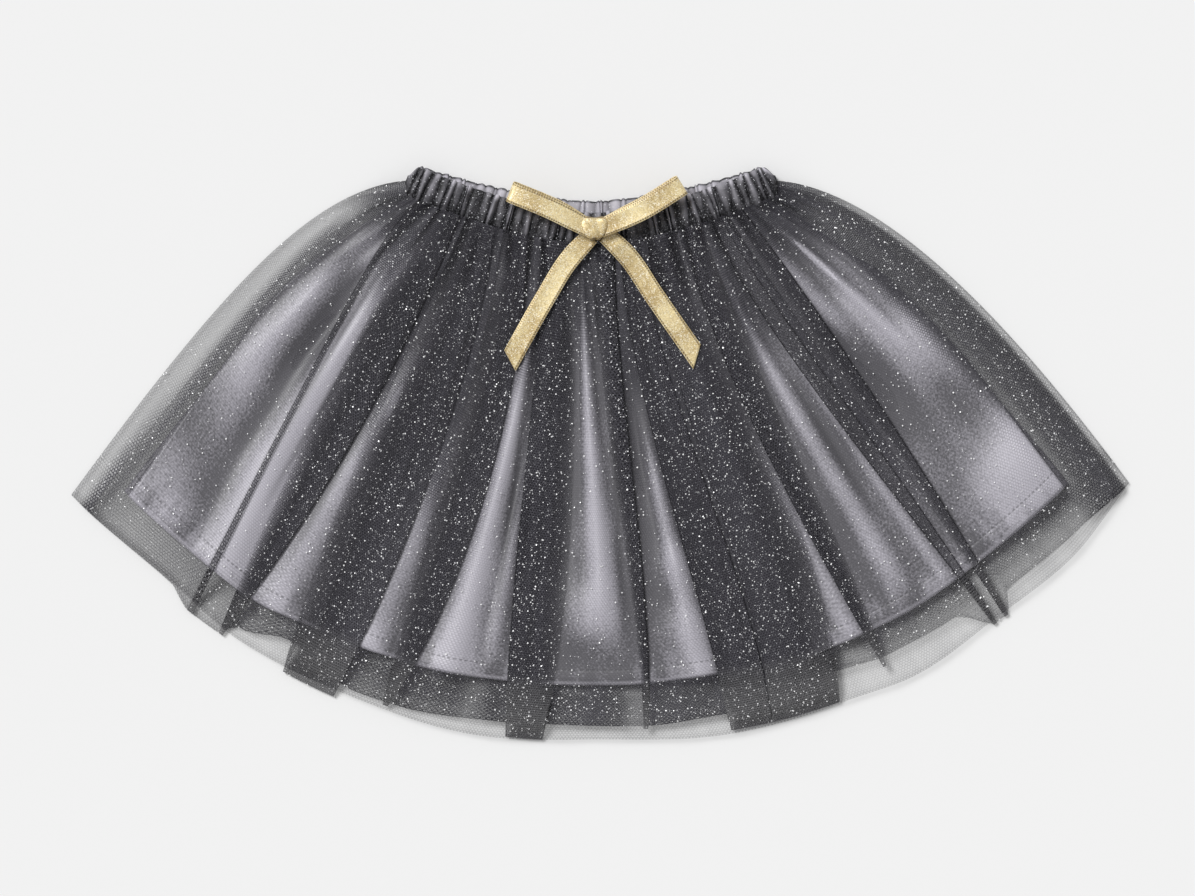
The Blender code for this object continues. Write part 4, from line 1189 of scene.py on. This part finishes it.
def bow_knot(highest, material):
    """The knot: a rounded block whose sides bulge, with soft creases where the ribbon wraps it."""
    rows, columns = 48, 72
    rise = np.linspace(-math.pi / 2, math.pi / 2, rows)[:, None]
    turn = np.linspace(0, 2 * math.pi, columns, endpoint=False)[None, :]

    def rounded(value, power):
        return np.sign(value) * np.abs(value) ** power

    x = rounded(np.cos(rise), 0.50) * rounded(np.cos(turn), 0.5)
    y = rounded(np.cos(rise), 0.50) * rounded(np.sin(turn), 0.5)
    z = rounded(np.sin(rise), 0.8) + 0.0 * turn
    crease = 1 + 0.11 * np.cos(7 * x + 2.5 * y + 0.6) * np.maximum(z, 0)
    base = max(
        highest(KNOT_CENTRE[0] + dx, KNOT_CENTRE[1] + dy)
        for dx in (-0.005, -0.0025, 0, 0.0025, 0.005)
        for dy in (-0.004, 0, 0.004)
    )
    points = np.stack(
        [
            KNOT_CENTRE[0] + KNOT_HALF[0] * x * (1 + KNOT_FLARE * y) * crease,
            KNOT_CENTRE[1] + KNOT_HALF[1] * y * (1 - 0.06 * np.cos(7 * x)),
            base + KNOT_CLEAR + KNOT_HALF[2] * (1 + z * crease),
        ],
        axis=-1,
    )
    faces = grid_faces(rows, columns, wrap=True).tolist()
    uv = np.stack([points[..., 0], points[..., 1]], axis=-1)
    side = np.abs(y) * 0.93
    made = add_mesh("bow_knot_wrap", points, faces, uv, {"side": side})
    turn_outwards(made, merge=POLE_MERGE)
    return finish_piece(made, material, "gold_ribbon", "bow_knot")


def glitter_flakes(points, bunch, settings, material):
    """Hexagonal flakes scattered on the outer tulle, more where it is bunched, each turned and
    tilted its own way."""
    rng = np.random.default_rng(FLAKE_SEED)
    rows, columns = bunch.shape
    cells = np.linalg.norm(
        np.cross(points[1:, :-1] - points[:-1, :-1], points[:-1, 1:] - points[:-1, :-1]), axis=-1
    )
    weight = cells * (0.35 + 0.65 * np.clip(bunch[:-1, :-1], 0, 1))
    chosen = rng.choice(weight.size, settings.flake_count, p=(weight / weight.sum()).ravel())
    row, column = np.unravel_index(chosen, weight.shape)
    u = rng.random((settings.flake_count, 1))
    v = rng.random((settings.flake_count, 1))
    corner = points[row, column]
    along_row = points[row, column + 1] - corner
    down_row = points[row + 1, column] - corner
    centre = corner + along_row * u + down_row * v + np.array([0, 0, FLAKE_LIFT])
    size = settings.flake_size * (0.42 + 0.58 * rng.random(settings.flake_count) ** 3) / 2
    spin = rng.random(settings.flake_count) * math.pi
    tilt = rng.normal(0, FLAKE_TILT, (settings.flake_count, 2))
    angle = spin[:, None] + np.arange(6)[None, :] * math.pi / 3
    x = size[:, None] * np.cos(angle)
    y = size[:, None] * np.sin(angle)
    z = x * tilt[:, :1] + y * tilt[:, 1:]
    corners = centre[:, None, :] + np.stack([x, y, z], axis=-1)
    faces = np.arange(settings.flake_count * 6).reshape(-1, 6)
    shine = np.repeat(rng.random(settings.flake_count) ** 0.35, 6)
    made = add_mesh("glitter_flakes", corners, faces.tolist(), None, {"shine": shine})
    return finish_piece(made, material, "glitter_tulle")


class TutuSettings(bpy.types.PropertyGroup):
    """What a user would change about the skirt's cloth and glitter."""

    tulle_colour: FloatVectorProperty(
        name="Tulle colour",
        description="Colour of the tulle's and the net's threads",
        subtype="COLOR",
        default=(0.027, 0.026, 0.031),
        min=0.0,
        max=1.0,
    )
    tulle_cover: FloatProperty(
        name="Tulle cover",
        description="Share of the light that one layer of outer tulle holds back",
        default=0.155,
        min=0.0,
        max=1.0,
    )
    net_cover: FloatProperty(
        name="Net cover",
        description="Share of the light that one layer of the petticoat's net holds back",
        default=0.095,
        min=0.0,
        max=1.0,
    )
    net_pitch: FloatProperty(
        name="Net pitch",
        description="Distance between neighbouring holes of the net",
        unit="LENGTH",
        default=0.0014,
        min=0.0005,
        max=0.005,
    )
    satin_colour: FloatVectorProperty(
        name="Satin colour",
        description="Colour of the satin lining",
        subtype="COLOR",
        default=(0.300, 0.290, 0.322),
        min=0.0,
        max=1.0,
    )
    gold_colour: FloatVectorProperty(
        name="Ribbon colour",
        description="Colour of the bow's glitter ribbon",
        subtype="COLOR",
        default=(0.78, 0.655, 0.37),
        min=0.0,
        max=1.0,
    )
    flake_count: IntProperty(
        name="Flakes",
        description="Number of glitter flakes on the outer tulle",
        default=15000,
        min=0,
        max=20000,
    )
    flake_size: FloatProperty(
        name="Flake size",
        description="Width of the largest glitter flakes",
        unit="LENGTH",
        default=0.00088,
        min=0.0002,
        max=0.003,
    )


class TUTU_OT_skirt_backs(bpy.types.Operator):
    """Lay the back panels of the outer tulle, the satin and the petticoat"""

    bl_idname = "tutu.skirt_backs"
    bl_label = "Back Panels"

    def execute(self, context):
        settings = context.scene.tutu
        tulle = tulle_material("outer_tulle_back", settings, False)
        net = tulle_material("net_back", settings, False)
        outer = lying_panel(
            "outer_tulle_back", 1.0, 1.0, TULLE_HEM, BACK_DIP, TULLE_BACK_Z, tulle,
            "glitter_tulle", "tulle_back", 0.05,
        )
        satin = satin_back(satin_material(settings))
        petticoat = lying_panel(
            "net_back", LEFT_NET, RIGHT_NET, NET_HEM, BACK_DIP, NET_BACK_Z, net,
            "petticoat_net", "petticoat_back",
        )
        return {"FINISHED"}


class TUTU_OT_petticoat(bpy.types.Operator):
    """Lay the petticoat's front panel of plain net"""

    bl_idname = "tutu.petticoat"
    bl_label = "Petticoat Front"

    def execute(self, context):
        net = tulle_material("net_front", context.scene.tutu, False)
        petticoat = lying_panel(
            "net_front", LEFT_NET, RIGHT_NET, NET_HEM, FRONT_DIP, NET_FRONT_Z, net,
            "petticoat_net", "petticoat_front",
        )
        return {"FINISHED"}


class TUTU_OT_satin(bpy.types.Operator):
    """Lay the satin lining's front panel with its folds"""

    bl_idname = "tutu.satin"
    bl_label = "Satin Front"

    def execute(self, context):
        satin = satin_front(satin_material(context.scene.tutu))
        return {"FINISHED"}


class TUTU_OT_outer_tulle(bpy.types.Operator):
    """Fold the outer tulle's front panel in its pleats and scatter the glitter on it"""

    bl_idname = "tutu.outer_tulle"
    bl_label = "Outer Tulle Front"

    def execute(self, context):
        settings = context.scene.tutu
        tulle = tulle_material("outer_tulle_front", settings, True)
        outer, points, bunch = outer_tulle_front(tulle)
        flakes = glitter_flakes(points, bunch, settings, flake_material())
        return {"FINISHED"}


class TUTU_OT_waistband(bpy.types.Operator):
    """Gather the two halves of the waistband"""

    bl_idname = "tutu.waistband"
    bl_label = "Waistband"

    def execute(self, context):
        casing = band_material(context.scene.tutu)
        band_half(
            "casing_back", BACK_DIP, BACK_BAND_FLOOR, BACK_BAND_TOP, BACK_BAND_DEPTH,
            "waistband_back", casing, 2.0, inside=True,
        )
        band_half(
            "casing_front", FRONT_DIP, FRONT_BAND_FLOOR, FRONT_BAND_TOP, FRONT_BAND_DEPTH,
            "waistband_front", casing, 0.6,
        )
        return {"FINISHED"}


class TUTU_OT_bow(bpy.types.Operator):
    """Tie the gold ribbon bow on the waistband"""

    bl_idname = "tutu.bow"
    bl_label = "Ribbon Bow"

    def execute(self, context):
        gold = ribbon_material(context.scene.tutu)
        under = [bpy.data.objects["outer_tulle_front"], bpy.data.objects["casing_front"]]
        highest = height_finder(under)
        tails = [
            ribbon_tail("left", LEFT_TAIL, LEFT_SLANT, highest, gold),
            ribbon_tail("right", RIGHT_TAIL, RIGHT_SLANT, highest, gold),
        ]
        over = height_finder([*under, *tails])
        loops = [
            ribbon_loop("left", LEFT_LOOP, LOOP_SLIP, over, gold),
            ribbon_loop("right", RIGHT_LOOP, -LOOP_SLIP, over, gold),
        ]
        bow_knot(highest, gold)
        return {"FINISHED"}


class TUTU_OT_studio(bpy.types.Operator):
    """Set up the pale floor, the soft light and the camera"""

    bl_idname = "tutu.studio"
    bl_label = "Studio"

    def execute(self, context):
        scene = context.scene
        corners = [(x, y, FLOOR_Z) for x, y in ((-1, -1), (1, -1), (1, 1), (-1, 1))]
        floor = add_mesh("floor", np.array(corners) * [FLOOR_HALF, FLOOR_HALF, 1], [[0, 1, 2, 3]])
        floor.data.materials.append(
            Graph("floor").finish(
                Base_Color=rgba(FLOOR_COLOUR), Roughness=0.9, Specular_IOR_Level=0.1
            )
        )
        light = bpy.data.lights.new("key", "SUN")
        light.energy = KEY_STRENGTH
        light.angle = KEY_ANGLE
        lamp = bpy.data.objects.new("key", light)
        lamp.location = KEY_PLACE
        lamp.rotation_euler = (-lamp.location).to_track_quat("-Z", "Y").to_euler()
        scene.collection.objects.link(lamp)
        world = bpy.data.worlds.new("studio")
        world.use_nodes = True
        sky = world.node_tree.nodes["Background"]
        sky.inputs["Color"].default_value = (1.0, 1.0, 1.0, 1.0)
        sky.inputs["Strength"].default_value = SKY_STRENGTH
        scene.world = world
        scene.view_settings.view_transform = "Standard"
        camera = bpy.data.cameras.new("camera")
        camera.sensor_width = 36.0
        camera.lens = camera.sensor_width * (CAMERA_HEIGHT - SATIN_LEVEL) / VIEW_WIDTH
        camera.clip_end = 20.0
        holder = bpy.data.objects.new("camera", camera)
        holder.location = (*VIEW_CENTRE, CAMERA_HEIGHT)
        scene.collection.objects.link(holder)
        scene.camera = holder
        return {"FINISHED"}


class TUTU_PT_panel(bpy.types.Panel):
    """The skirt's settings and the steps that make it"""

    bl_idname = "TUTU_PT_panel"
    bl_label = "Tutu Skirt"
    bl_space_type = "VIEW_3D"
    bl_region_type = "UI"
    bl_category = "Tutu Skirt"

    def draw(self, context):
        for key in TutuSettings.__annotations__:
            self.layout.prop(context.scene.tutu, key)
        for step in STEPS:
            self.layout.operator(step.bl_idname)


STEPS = (
    TUTU_OT_skirt_backs,
    TUTU_OT_petticoat,
    TUTU_OT_satin,
    TUTU_OT_outer_tulle,
    TUTU_OT_waistband,
    TUTU_OT_bow,
    TUTU_OT_studio,
)


def register():
    for cls in (TutuSettings, *STEPS, TUTU_PT_panel):
        bpy.utils.register_class(cls)
    bpy.types.Scene.tutu = PointerProperty(type=TutuSettings)


def unregister():
    del bpy.types.Scene.tutu
    for cls in reversed((TutuSettings, *STEPS, TUTU_PT_panel)):
        bpy.utils.unregister_class(cls)


def main():
    register()
    bpy.ops.tutu.skirt_backs()
    bpy.ops.tutu.petticoat()
    bpy.ops.tutu.satin()
    bpy.ops.tutu.outer_tulle()
    bpy.ops.tutu.waistband()
    bpy.ops.tutu.bow()
    bpy.ops.tutu.studio()


if __name__ == "__main__":
    main()
